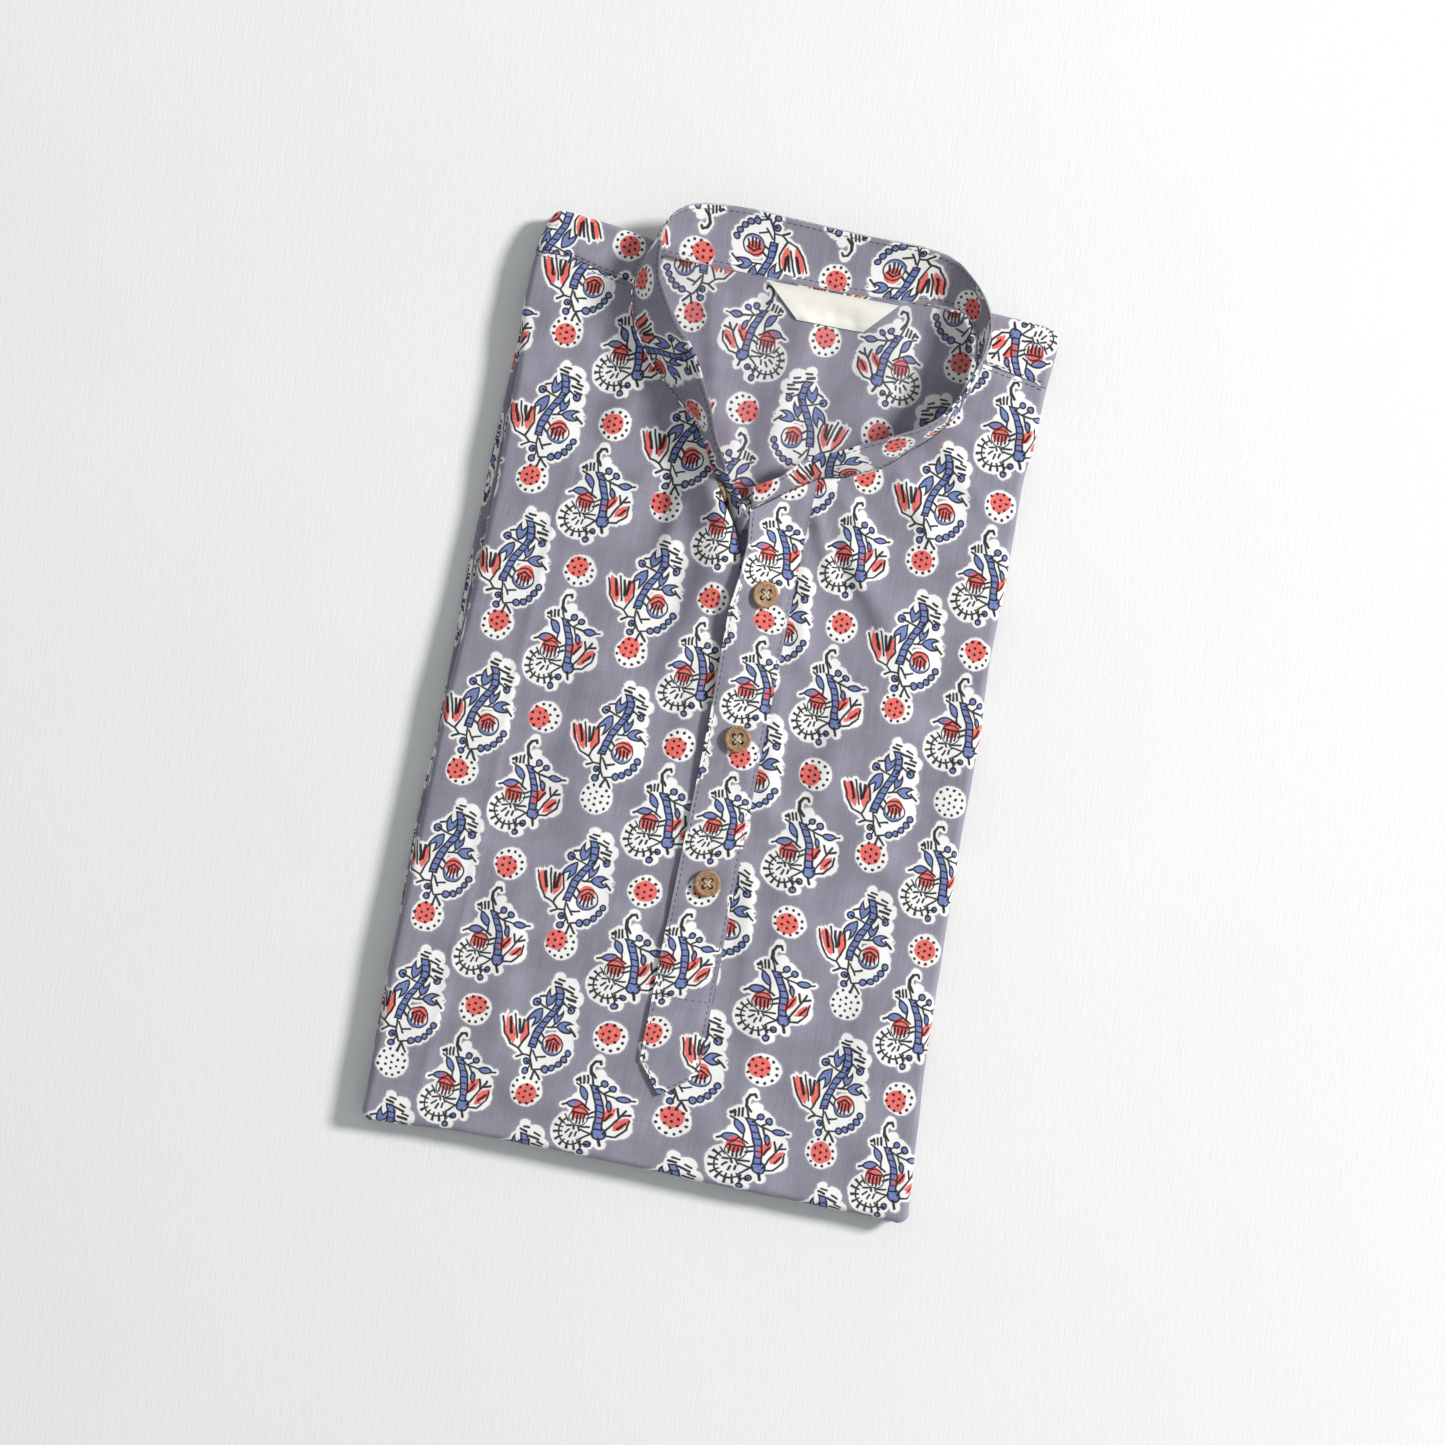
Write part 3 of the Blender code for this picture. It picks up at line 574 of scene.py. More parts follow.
def flat_panel(name, loop, height, step, print_place, material, wall):
    corners, faces, _ = filled_points(loop, step)
    vertices = [(p.x, p.y, height(p.x, p.y)) for p in corners]
    return shell(name, vertices, faces, [print_place(p.x, p.y) for p in corners], wall, material)


def build_front(material):
    half = GAP / 2
    left = side_run("left", FRONT_LEFT, 188.8 - half, -205.5)
    bottom = side_run("bottom", FRONT_LEFT, -120.3, 127.7)
    right = side_run("right", FRONT_LEFT, -206.4, 171.1 - half)
    run = joined_run((left, bottom, right), closed=False)
    slit = [(SLIT_RIGHT, 109.6), (SLIT_RIGHT, SLIT_END), (SLIT_LEFT, SLIT_END)]
    slit = resample(slit + list(reversed(SLIT_MOUTH)), EDGE_STEP)
    seam = shifted(reversed(YOKE_SEAM_RIGHT), -half) + neckline(*NECK_RIGHT) + slit
    seam += neckline(*NECK_LEFT) + shifted(reversed(YOKE_SEAM_LEFT), -half)
    return rolled_panel("front_cloth", run, seam, front_height, front_print, material)


def build_yokes(material):
    half = GAP / 2
    left = side_run("left", FRONT_LEFT, 209.3, 188.8 + half)
    top = side_run("top", FRONT_LEFT, -65.4, -111.5)
    run = joined_run((top, left), closed=False)
    seam = resample(shifted(YOKE_SEAM_LEFT, half), EDGE_STEP) + neckline(8, 9)
    first = rolled_panel("yoke_left_cloth", run, seam, front_height, yoke_left_print, material)
    right = side_run("right", FRONT_LEFT, 171.1 + half, 197.2)
    top = side_run("top", FRONT_LEFT, 120.9, 80.0)
    run = joined_run((right, top), closed=False)
    seam = neckline(17, 18)[:-1] + resample(shifted(YOKE_SEAM_RIGHT, half), EDGE_STEP)
    second = rolled_panel("yoke_right_cloth", run, seam, front_height, yoke_right_print, material)
    return first, second


def grid_faces(rows, columns):
    """Faces of a grid of vertices, numbered row by row."""
    faces = []
    for row in range(rows - 1):
        for column in range(columns - 1):
            start = row * columns + column
            faces.append((start, start + 1, start + columns + 1, start + columns))
    return faces


def build_back(material):
    """Fine where it shows through the neck, coarse where the front covers it."""
    hidden = resample(((0, -197.0), (0, 74.0)), 9.0)[:-1]
    rows = [y for _, y in hidden + resample(((0, 74.0), (0, 196.9)), 2.0)]
    columns = 110
    vertices = []
    for y in rows:
        narrowing = 18.0 * smoothstep((y - 180.0) / 16.0)
        left = table_value(FRONT_LEFT, y) + ROLL + CORNER + narrowing
        right = table_value(RIGHT, y) - ROLL - CORNER - narrowing
        for index in range(columns + 1):
            x = left + (right - left) * index / columns
            vertices.append((x, y, back_height(x, y)))
    cloth = [back_print(x, y) for x, y, _ in vertices]
    return shell("back_cloth", vertices, grid_faces(len(rows), columns + 1), cloth, THIN, material)


def layer_profile():
    """Rings of the hidden layers: which outline, inset, height, waviness and its seed."""
    rings = [("lower", 1.6, 0.0, 0.0, 0)]
    thickness = 0.85
    for layer in range(6):
        base = layer * thickness
        inset = (0.6, 0.2, 0.9, 0.4, 1.3, 0.8)[layer]
        for rise, back in ((0.06, 0.7), (0.22, 0.15), (0.42, 0.0), (0.62, 0.15), (0.79, 0.7)):
            rings.append(("lower", inset + back, base + rise, 0.45, layer))
    rings += [("upper", 4.4, 5.2, 0.3, 8), ("upper", 4.0, 5.6, 0.3, 8), ("upper", 3.9, 6.1, 0.3, 8),
              ("upper", 4.1, 6.6, 0.3, 8), ("upper", 3.4, 6.9, 0.3, 9), ("upper", 2.7, 7.4, 0.3, 9),
              ("upper", 2.4, 7.9, 0.3, 9), ("upper", 2.5, 8.4, 0.3, 9), ("upper", 3.4, 8.8, 0.1, 9),
              ("upper", 4.6, STACK_TOP, 0.0, 9)]
    return rings


def build_layers(material):
    """The folded layers under the front: one form, with each layer's edge."""
    outlines = {"upper": FRONT_LEFT, "lower": LAYERS_LEFT}
    rings = []
    vertices = []
    cloth = []
    travel = 0.0
    before = None
    for kind, inset, z, waviness, seed in layer_profile():
        if before:
            travel += math.dist((inset, z), before)
        before = (inset, z)
        ring = []
        for point, normal in closed_outline(outlines[kind], 0.0):
            wave = waviness * (waves(point.x, point.y, 28.0, seed * 3.7) - 0.4)
            place = point + normal * (wave - inset)
            ring.append(len(vertices))
            vertices.append((place.x, place.y, z))
            unrolled = point + normal * travel
            cloth.append(front_print(unrolled.x + 9.0 * seed, unrolled.y + 5.0 * seed))
        rings.append(ring)
    faces = []
    for lower, upper in zip(rings[:-1], rings[1:]):
        for index in range(len(lower)):
            after = (index + 1) % len(lower)
            faces.append((lower[index], lower[after], upper[after], upper[index]))
    faces.append(tuple(rings[0][::-1]))
    faces.append(tuple(rings[-1]))
    cloth = np.array(cloth)
    low, high = cloth.min(axis=0), cloth.max(axis=0)
    bake = 0.004 + 0.992 * (cloth - low) / (high - low)
    result = new_object("folded_layers_cloth", vertices, faces, material, cloth, bake)
    mesh = bmesh.new()
    mesh.from_mesh(result.data)
    bmesh.ops.recalc_face_normals(mesh, faces=mesh.faces)
    mesh.to_mesh(result.data)
    mesh.free()
    result.data.set_sharp_from_angle(angle=math.radians(52))
    return result


def collar_grid():
    """Middle surface of the band: rows of points from base to top edge, bowed outward."""
    grid = []
    for row in curve_through(COLLAR, COLLAR_STEPS):
        base, top = np.array(row[:3]), np.array(row[3:])
        grid.append([base + (top - base) * column / (COLLAR_COLUMNS - 1) for column in range(COLLAR_COLUMNS)])
    grid = np.array(grid)
    along = np.gradient(grid, axis=0)
    up = grid[:, -1:] - grid[:, :1]
    outward = np.cross(up, along)
    outward /= np.linalg.norm(outward, axis=2)[:, :, None]
    share = np.linspace(0.0, 1.0, COLLAR_COLUMNS)[None, :]
    bow = 1.3 * 4.0 * share * (1.0 - share)
    wobble = np.zeros(grid.shape[:2])
    for row in range(grid.shape[0]):
        for column in range(COLLAR_COLUMNS):
            x, y, z = grid[row, column]
            wobble[row, column] = 0.35 * waves(x, y + z, 15.0, 41.0) * share[0, column]
    return grid + outward * (bow + wobble)[:, :, None]


def build_collar(material):
    grid = collar_grid()
    rows = grid.shape[0]
    steps = np.linalg.norm(np.diff(grid[:, COLLAR_COLUMNS // 2], axis=0), axis=1)
    along = np.concatenate([[0.0], np.cumsum(steps)])
    middle = int(np.argmin(np.abs(np.arange(rows) - 12.3 * COLLAR_STEPS)))
    along -= along[middle]
    heights = np.linalg.norm(grid[:, -1] - grid[:, 0], axis=1)
    faces = grid_faces(rows, COLLAR_COLUMNS)
    flat = grid.reshape(-1, 3)
    normal = normals_of(flat, faces)
    half = DOUBLE / 2
    sides = [flat + normal * half, flat - normal * half]
    # the edges of the band are folded: round them with a middle line moved out
    count = len(flat)
    rim = [(row, 0) for row in range(rows)] + [(rows - 1, column) for column in range(1, COLLAR_COLUMNS)]
    rim += [(row, COLLAR_COLUMNS - 1) for row in range(rows - 2, -1, -1)]
    rim += [(0, column) for column in range(COLLAR_COLUMNS - 2, 0, -1)]
    places = [row * COLLAR_COLUMNS + column for row, column in rim]
    centre = np.roll(flat[places], 1, axis=0), np.roll(flat[places], -1, axis=0)
    tangent = centre[1] - centre[0]
    out = np.cross(tangent, normal[places])
    out /= np.linalg.norm(out, axis=1)[:, None]
    inner_neighbour = flat[[min(max(row, 1), rows - 2) * COLLAR_COLUMNS + min(max(column, 1), COLLAR_COLUMNS - 2)
                            for row, column in rim]]
    out *= np.sign(np.sum(out * (flat[places] - inner_neighbour), axis=1))[:, None]
    sides.append(flat[places] + out * half)
    vertices = np.concatenate(sides)
    all_faces = list(faces) + [tuple(index + count for index in face[::-1]) for face in faces]
    for index, place in enumerate(places):
        after = (index + 1) % len(places)
        top, top_after = place, places[after]
        low, low_after = place + count, places[after] + count
        mid, mid_after = 2 * count + index, 2 * count + after
        all_faces.append((top, mid, mid_after, top_after))
        all_faces.append((mid, low, low_after, mid_after))
    share = np.linspace(0.0, 1.0, COLLAR_COLUMNS)
    outer, inner = (np.array([collar_print(along[row], heights[row] * share[column], face)
                              for row in range(rows) for column in range(COLLAR_COLUMNS)])
                    for face in (False, True))
    span = np.array([outer[:, 0].min(), outer[:, 1].min()]), np.array([outer[:, 0].max(), outer[:, 1].max()])
    bake = (outer - span[0]) / (span[1] - span[0])
    bake_outer = np.column_stack([0.004 + 0.992 * bake[:, 0], 0.504 + 0.49 * bake[:, 1]])
    bake_inner = np.column_stack([0.004 + 0.992 * bake[:, 0], 0.004 + 0.49 * bake[:, 1]])
    cloth = np.concatenate([outer, inner, outer[places]])
    bakes = np.concatenate([bake_outer, bake_inner, bake_outer[places]])
    result = new_object("collar_cloth", vertices, all_faces, material, cloth, bakes)
    mesh = bmesh.new()
    mesh.from_mesh(result.data)
    bmesh.ops.recalc_face_normals(mesh, faces=mesh.faces)
    mesh.to_mesh(result.data)
    mesh.free()
    result.data.set_sharp_from_angle(angle=math.radians(80))
    return result


def placket_loop():
    left = resample([(x, y) for y, x in PLACKET_LEFT], EDGE_STEP)
    right = resample([(x, y) for y, x in reversed(PLACKET_RIGHT)], EDGE_STEP)
    top = [(row[0] + 0.5 * NECK_GAP, row[1] - NECK_GAP) for row in COLLAR[-1:-4:-1]]
    tip = resample([left[-1], PLACKET_TIP, right[0]], EDGE_STEP)[1:-1]
    return left + tip + right + resample(top[::-1], EDGE_STEP)


def build_placket(material):
    return flat_panel("placket_cloth", placket_loop(), placket_height, 1.7, placket_print, material, DOUBLE)


def build_underlap(material):
    side = resample(((1.8, 51.0), (1.8, SLIT_END + GAP), (23.9, SLIT_END + GAP), (23.9, 20.0)), EDGE_STEP)
    loop = side[:-1] + resample(UNDERLAP_MOUTH, EDGE_STEP)[:-1]
    return flat_panel("placket_under_cloth", loop, underlap_height, FACE_STEP, underlap_print, material, THIN)


def label_place(x, y):
    return x, y


def build_label(material):
    loop = resample(list(LABEL) + [LABEL[0]], 1.5)[:-1]
    return flat_panel("label_cloth", loop, label_height, 1.5, label_place, material, 0.5)


BUTTONS = ((12.6, 57.4), (13.0, -7.9), (11.7, -73.4))
TOP_BUTTON_ROW = 1.45
BUTTON_RADIUS = 6.0
BUTTON_HEIGHT = 2.4
HOLE_RADIUS = 1.05
TOP_BUTTON_SHARE = 5             # collar column, from its base, that carries the undone button
HOLE_OFFSET = 2.3
BUTTON_SIDES = 64


def build_button(name, place, normal, turn, materials):
    """Turned wooden disc with a rounded rim, a sunk middle and four holes."""
    profile = ((0.80, 0.0), (0.90, 0.03), (0.97, 0.14), (1.0, 0.32), (1.0, 0.70), (0.985, 0.84), (0.95, 0.93),
               (0.90, 0.98), (0.84, 1.0), (0.79, 0.99), (0.75, 0.95), (0.71, 0.91), (0.66, 0.89))
    holes = []
    for index in range(4):
        angle = math.pi / 4 + index * math.pi / 2
        holes.append((HOLE_OFFSET * math.cos(angle), HOLE_OFFSET * math.sin(angle)))
    vertices = []
    rings = []
    for radius, rise in profile:
        ring = []
        for side in range(BUTTON_SIDES):
            angle = 2 * math.pi * side / BUTTON_SIDES
            reach = radius * BUTTON_RADIUS
            ring.append(len(vertices))
            vertices.append((reach * math.cos(angle), reach * math.sin(angle), rise * BUTTON_HEIGHT))
        rings.append(ring)
    faces = []
    for lower, upper in zip(rings[:-1], rings[1:]):
        for side in range(BUTTON_SIDES):
            after = (side + 1) % BUTTON_SIDES
            faces.append((lower[side], lower[after], upper[after], upper[side]))
    hole_sides = 20
    mouths = {}
    for level, ring in (("bottom", rings[0]), ("top", rings[-1])):
        points = [Vector(vertices[index][:2]) for index in ring]
        edges = [(index, (index + 1) % BUTTON_SIDES) for index in range(BUTTON_SIDES)]
        for x, y in holes:
            first = len(points)
            for side in range(hole_sides):
                angle = 2 * math.pi * side / hole_sides
                points.append(Vector((x + HOLE_RADIUS * math.cos(angle), y + HOLE_RADIUS * math.sin(angle))))
                edges.append((first + side, first + (side + 1) % hole_sides))
        corners, _, found, _, _, _ = geometry.delaunay_2d_cdt(points, edges, [], 0, 1e-5)
        height = vertices[ring[0]][2]
        places = list(ring)
        for point in corners[BUTTON_SIDES:]:
            places.append(len(vertices))
            vertices.append((point.x, point.y, height))
        mouths[level] = places[BUTTON_SIDES:]
        for face in found:
            middle = sum((corners[index] for index in face), Vector((0.0, 0.0))) / len(face)
            if all(math.dist(middle, hole) > HOLE_RADIUS * 0.98 for hole in holes):
                ordered = tuple(places[index] for index in face)
                faces.append(ordered if level == "top" else ordered[::-1])
    for hole in range(4):
        for side in range(hole_sides):
            after = (side + 1) % hole_sides
            start = hole * hole_sides
            top, bottom = mouths["top"], mouths["bottom"]
            faces.append((top[start + after], top[start + side], bottom[start + side], bottom[start + after]))
    points = np.array(vertices)
    turned = Matrix.Rotation(turn, 3, "Z")
    rotation = normal.to_track_quat("Z", "Y").to_matrix() @ turned
    placed = points @ np.array(rotation).T + np.array(place)
    button = new_object(name, placed, faces, materials["wood"], cloth=points[:, :2] + 40.0 * turn)
    button.data.set_sharp_from_angle(angle=math.radians(38))
    thread_points = []
    for start, end in ((0, 2), (1, 3)):
        thread_points.append([(holes[start][0], holes[start][1]), (holes[end][0], holes[end][1])])
    threads = []
    for index, ((x0, y0), (x1, y1)) in enumerate(thread_points):
        for offset in (-0.22, 0.22):
            run = Vector((x1 - x0, y1 - y0)).normalized()
            side = Vector((-run.y, run.x)) * offset
            top = 0.89 * BUTTON_HEIGHT
            path = [(x0 + side.x, y0 + side.y, top - 1.2), (x0 * 0.92 + side.x, y0 * 0.92 + side.y, top + 0.1),
                    (side.x, side.y, top + 0.38 + 0.22 * index),
                    (x1 * 0.92 + side.x, y1 * 0.92 + side.y, top + 0.1), (x1 + side.x, y1 + side.y, top - 1.2)]
            threads.append([np.array(rotation) @ np.array(p) + np.array(place) for p in path])
    return button, threads


def tube_mesh(paths, radius, sides):
    """Vertices and faces of thin round threads along paths."""
    vertices = []
    faces = []
    for path in paths:
        path = np.array(path, dtype=float)
        tangents = np.gradient(path, axis=0)
        reference = np.array((0.0, 0.0, 1.0))
        if abs(tangents[0] @ reference) > 0.9 * np.linalg.norm(tangents[0]):
            reference = np.array((1.0, 0.0, 0.0))
        rings = []
        for index, (point, tangent) in enumerate(zip(path, tangents)):
            tangent = tangent / np.linalg.norm(tangent)
            side = np.cross(tangent, reference)
            side /= np.linalg.norm(side)
            other = np.cross(side, tangent)
            size = radius * (0.45 if index in (0, len(path) - 1) else 1.0)
            ring = []
            for corner in range(sides):
                angle = 2 * math.pi * corner / sides
                ring.append(len(vertices))
                vertices.append(point + size * (side * math.cos(angle) + other * math.sin(angle)))
            rings.append(ring)
        for lower, upper in zip(rings[:-1], rings[1:]):
            for corner in range(sides):
                after = (corner + 1) % sides
                faces.append((lower[corner], lower[after], upper[after], upper[corner]))
        faces.append(tuple(rings[0][::-1]))
        faces.append(tuple(rings[-1]))
    return vertices, faces


def build_threads(name, paths, radius, material):
    vertices, faces = tube_mesh(paths, radius, 6)
    places = np.array(vertices)[:, :2]
    return new_object(name, vertices, faces, material, places)


def stitch_paths(line, length, pitch, lift):
    """Stitches along a line of points with normals, each a short arched thread."""
    points = np.array([point for point, _ in line])
    normals = np.array([normal for _, normal in line])
    steps = np.linalg.norm(np.diff(points, axis=0), axis=1)
    travel = np.concatenate([[0.0], np.cumsum(steps)])

    def at(distance):
        place = np.array([np.interp(distance, travel, points[:, axis]) for axis in range(3)])
        normal = np.array([np.interp(distance, travel, normals[:, axis]) for axis in range(3)])
        return place, normal / np.linalg.norm(normal)

    result = []
    start = pitch * 0.3
    while start + length < travel[-1]:
        path = []
        for share, rise in ((0.0, -0.12), (0.18, 0.06), (0.5, 0.13), (0.82, 0.06), (1.0, -0.12)):
            place, normal = at(start + length * share)
            path.append(place + normal * (rise + lift))
        result.append(path)
        start += pitch
    return result


def surface_normal(x, y, height):
    step = 1.0
    slope_x = (height(x + step, y) - height(x - step, y)) / (2 * step)
    slope_y = (height(x, y + step) - height(x, y - step)) / (2 * step)
    return Vector((-slope_x, -slope_y, 1.0)).normalized()


def surface_line(points, height):
    """Line of points laid on a height surface, with its normals."""
    return [((x, y, height(x, y)), tuple(surface_normal(x, y, height))) for x, y in resample(points, 1.5)]


def collar_line(column_share, side):
    """Line along the band at a part of its height, on its inner or outer face."""
    grid = collar_grid()
    column = column_share * (COLLAR_COLUMNS - 1)
    low = int(math.floor(column))
    high = min(low + 1, COLLAR_COLUMNS - 1)
    part = column - low
    normal = normals_of(grid.reshape(-1, 3), grid_faces(grid.shape[0], COLLAR_COLUMNS)).reshape(grid.shape)
    line = grid[:, low] * (1 - part) + grid[:, high] * part
    toward = normal[:, low] * side
    return [(point + direction * DOUBLE / 2, direction) for point, direction in zip(line, toward)]


def build_stitching(material):
    paths = []
    inset = 1.5
    left = [(x + inset, y) for y, x in PLACKET_LEFT]
    left.append((PLACKET_TIP[0] - 0.1, PLACKET_TIP[1] + 1.7))
    right = [(x - inset, y) for y, x in PLACKET_RIGHT[1:]]
    tip = [(PLACKET_TIP[0] - 0.1, PLACKET_TIP[1] + 1.7), right[-1]]
    for line in (left, right, tip, [(-1.0, PLACKET_CROSS + 0.5), (22.6, PLACKET_CROSS + 1.3)]):
        paths += stitch_paths(surface_line(line, placket_height), 2.1, 2.9, 0.0)
    for seam, sides in ((SEAMS[0], (-2.0, 1.4)), (SEAMS[1], (-2.0, 1.4))):
        for offset in sides:
            line = [(x, y + offset) for x, y in seam]
            trimmed = [line[0], line[1], line[2]] if len(line) == 3 else line
            paths += stitch_paths(surface_line(trimmed, front_height), 2.1, 2.9, 0.0)
    for share in (0.08, 0.93):
        for side in (1.0, -1.0):
            paths += stitch_paths(collar_line(share, side), 2.1, 2.9, 0.0)
    return build_threads("stitching", paths, 0.17, material)


def linear(red, green, blue):
    """Colour from the photo's 0 to 255 scale, as Blender's linear values."""
    result = []
    for value in (red, green, blue):
        value /= 255.0
        result.append(value / 12.92 if value <= 0.04045 else ((value + 0.055) / 1.055) ** 2.4)
    return (*result, 1.0)


GROUND = linear(140, 137, 152)
WHITE = linear(239, 240, 238)
CORAL = linear(226, 86, 76)
BLUE = linear(90, 110, 174)
INK = linear(20, 20, 30)

# Motif A in its own millimetres, x right and y up. Leaves: from x, y, to x, y, width
A_BLUE_LEAVES = ()
# Buds: from the base's x, y, to the open end's x, y, width
A_BLUE_BUDS = ((0.8, 9.2, 1.9, 16.2, 4.6), (-0.9, 7.8, -4.9, 0.2, 4.8), (5.9, 1.8, 7.0, 8.0, 3.6),
               (6.9, 0.9, 13.6, 1.6, 4.9))
# Discs: x, y, radius
A_BLUE_DOTS = ((-4.3, 10.1, 1.6), (11.4, 9.6, 1.5), (14.6, -9.9, 1.35), (13.3, -12.8, 1.35), (11.5, -15.4, 1.35),
               (9.1, -17.4, 1.35), (6.2, -18.5, 1.5), (-2.6, -16.7, 1.3), (-2.2, -20.9, 1.4))
A_RED_LEAVES = ((-15.6, 1.8, -10.4, -9.8, 4.2), (-6.3, 1.2, -6.9, -9.6, 3.8))
A_RED_DOTS = ((7.0, -5.9, 3.7),)
# Lines: from x, y, to x, y, half width
A_LINES = (
    (-17.2, 0.7, -14.7, -6.1, 0.32), (-14.7, -6.1, -11.5, -10.4, 0.32), (-11.5, -10.4, -7.4, -11.7, 0.32),
    (-5.8, 1.8, -4.5, -4.9, 0.32), (-4.5, -4.9, -7.4, -11.7, 0.32), (-12.2, 2.7, -9.2, -7.8, 0.32),
    (-14.0, 1.0, -11.9, -5.6, 0.45), (-9.8, 1.0, -8.5, -5.3, 0.45), (-7.6, 1.1, -7.8, -4.6, 0.45),
    (-4.3, 10.1, 2.4, 7.9, 0.3), (11.2, 9.6, 7.2, 12.2, 0.3), (7.2, 12.2, 6.6, 16.4, 0.3), (7.6, 11.4, 5.2, 8.6, 0.3),
    (6.2, 18.0, 10.6, 16.8, 0.4), (8.3, 14.2, 12.4, 13.6, 0.44), (4.8, 19.6, 1.8, 20.2, 0.4),
    (8.4, 19.6, 10.8, 18.6, 0.34), (10.2, 15.8, 12.8, 15.2, 0.34), (9.8, 12.0, 13.0, 11.2, 0.34),
    (3.0, 21.6, 5.8, 21.4, 0.34), (-1.0, 13.4, -3.6, 12.6, 0.34),
    (2.9, 0.2, 6.9, 0.6, 0.32), (4.6, 0.3, 6.0, 2.2, 0.3), (13.0, 1.2, 15.9, -1.5, 0.35),
    (-7.4, -11.7, -4.9, -14.0, 0.32), (-4.9, -14.0, -1.6, -14.0, 0.32), (-4.9, -14.0, -7.6, -15.8, 0.36),
    (-1.9, -10.0, -1.6, -14.5, 0.32), (-1.6, -14.5, 0.8, -19.6, 0.32), (-1.0, -11.4, 1.8, -15.6, 0.32),
    (1.0, -14.2, 4.8, -13.2, 0.32), (-2.6, -16.7, -0.4, -17.8, 0.3), (-0.4, -17.8, -1.4, -20.4, 0.3),
    (2.0, -20.0, 1.0, -24.0, 0.36), (2.0, -20.0, 4.8, -23.6, 0.36), (1.2, -19.8, 4.8, -18.8, 0.3),
    (1.2, -3.4, 2.8, -5.0, 0.36), (0.4, -6.6, 2.0, -7.8, 0.36),
    (4.0, -6.4, 6.9, -4.6, 0.3), (6.9, -4.6, 9.8, -6.2, 0.3),
    (4.6, -6.8, 4.4, -9.6, 0.34), (6.1, -6.4, 6.0, -10.4, 0.34), (7.6, -6.4, 7.6, -10.4, 0.34),
    (9.0, -6.8, 9.4, -9.4, 0.34),
)
A_RINGS = ((6.9, -7.6, 4.6, 0.34),)
A_WHITE = ((3.4, 22.4, 2.6), (8.6, 19.0, 4.4), (12.4, 14.4, 3.6), (11.6, 8.2, 4.0), (12.6, 2.4, 3.4), (1.0, 4.0, 5.0),
           (-10.0, -3.2, 6.0), (-6.0, -7.4, 6.4), (0.0, -11.0, 5.0), (10.6, -6.8, 6.2), (4.6, -14.2, 5.6), (-1.2, 11.6, 3.6))
# Ladder stem: y and x of its middle line, from its lower end
A_STEM = ((-9.9, -1.9), (-3.9, -0.9), (-0.5, 0.2), (3.3, 1.9), (6.8, 4.0), (9.5, 5.2), (13.7, 5.4), (18.5, 3.8))
B_BLUE_BUDS = ()
B_BLUE_LEAVES = ((-6.9, 9.2, -2.9, 3.2, 3.0), (-11.2, 0.2, -4.4, 1.6, 3.2), (7.8, 6.7, 14.0, 6.7, 2.7),
                 (5.6, 5.0, 6.9, 0.4, 2.0))
B_BLUE_DOTS = ((2.6, 11.9, 1.35), (6.2, 10.5, 1.3), (4.8, -10.4, 2.7), (1.5, -15.7, 1.2), (-0.9, -19.9, 1.25))
B_RED_LEAVES = ((4.6, -5.6, 9.0, 1.6, 3.9), (9.6, -8.6, 14.9, -1.8, 3.7))
B_RED_DOTS = ((-4.6, -2.7, 3.8),)
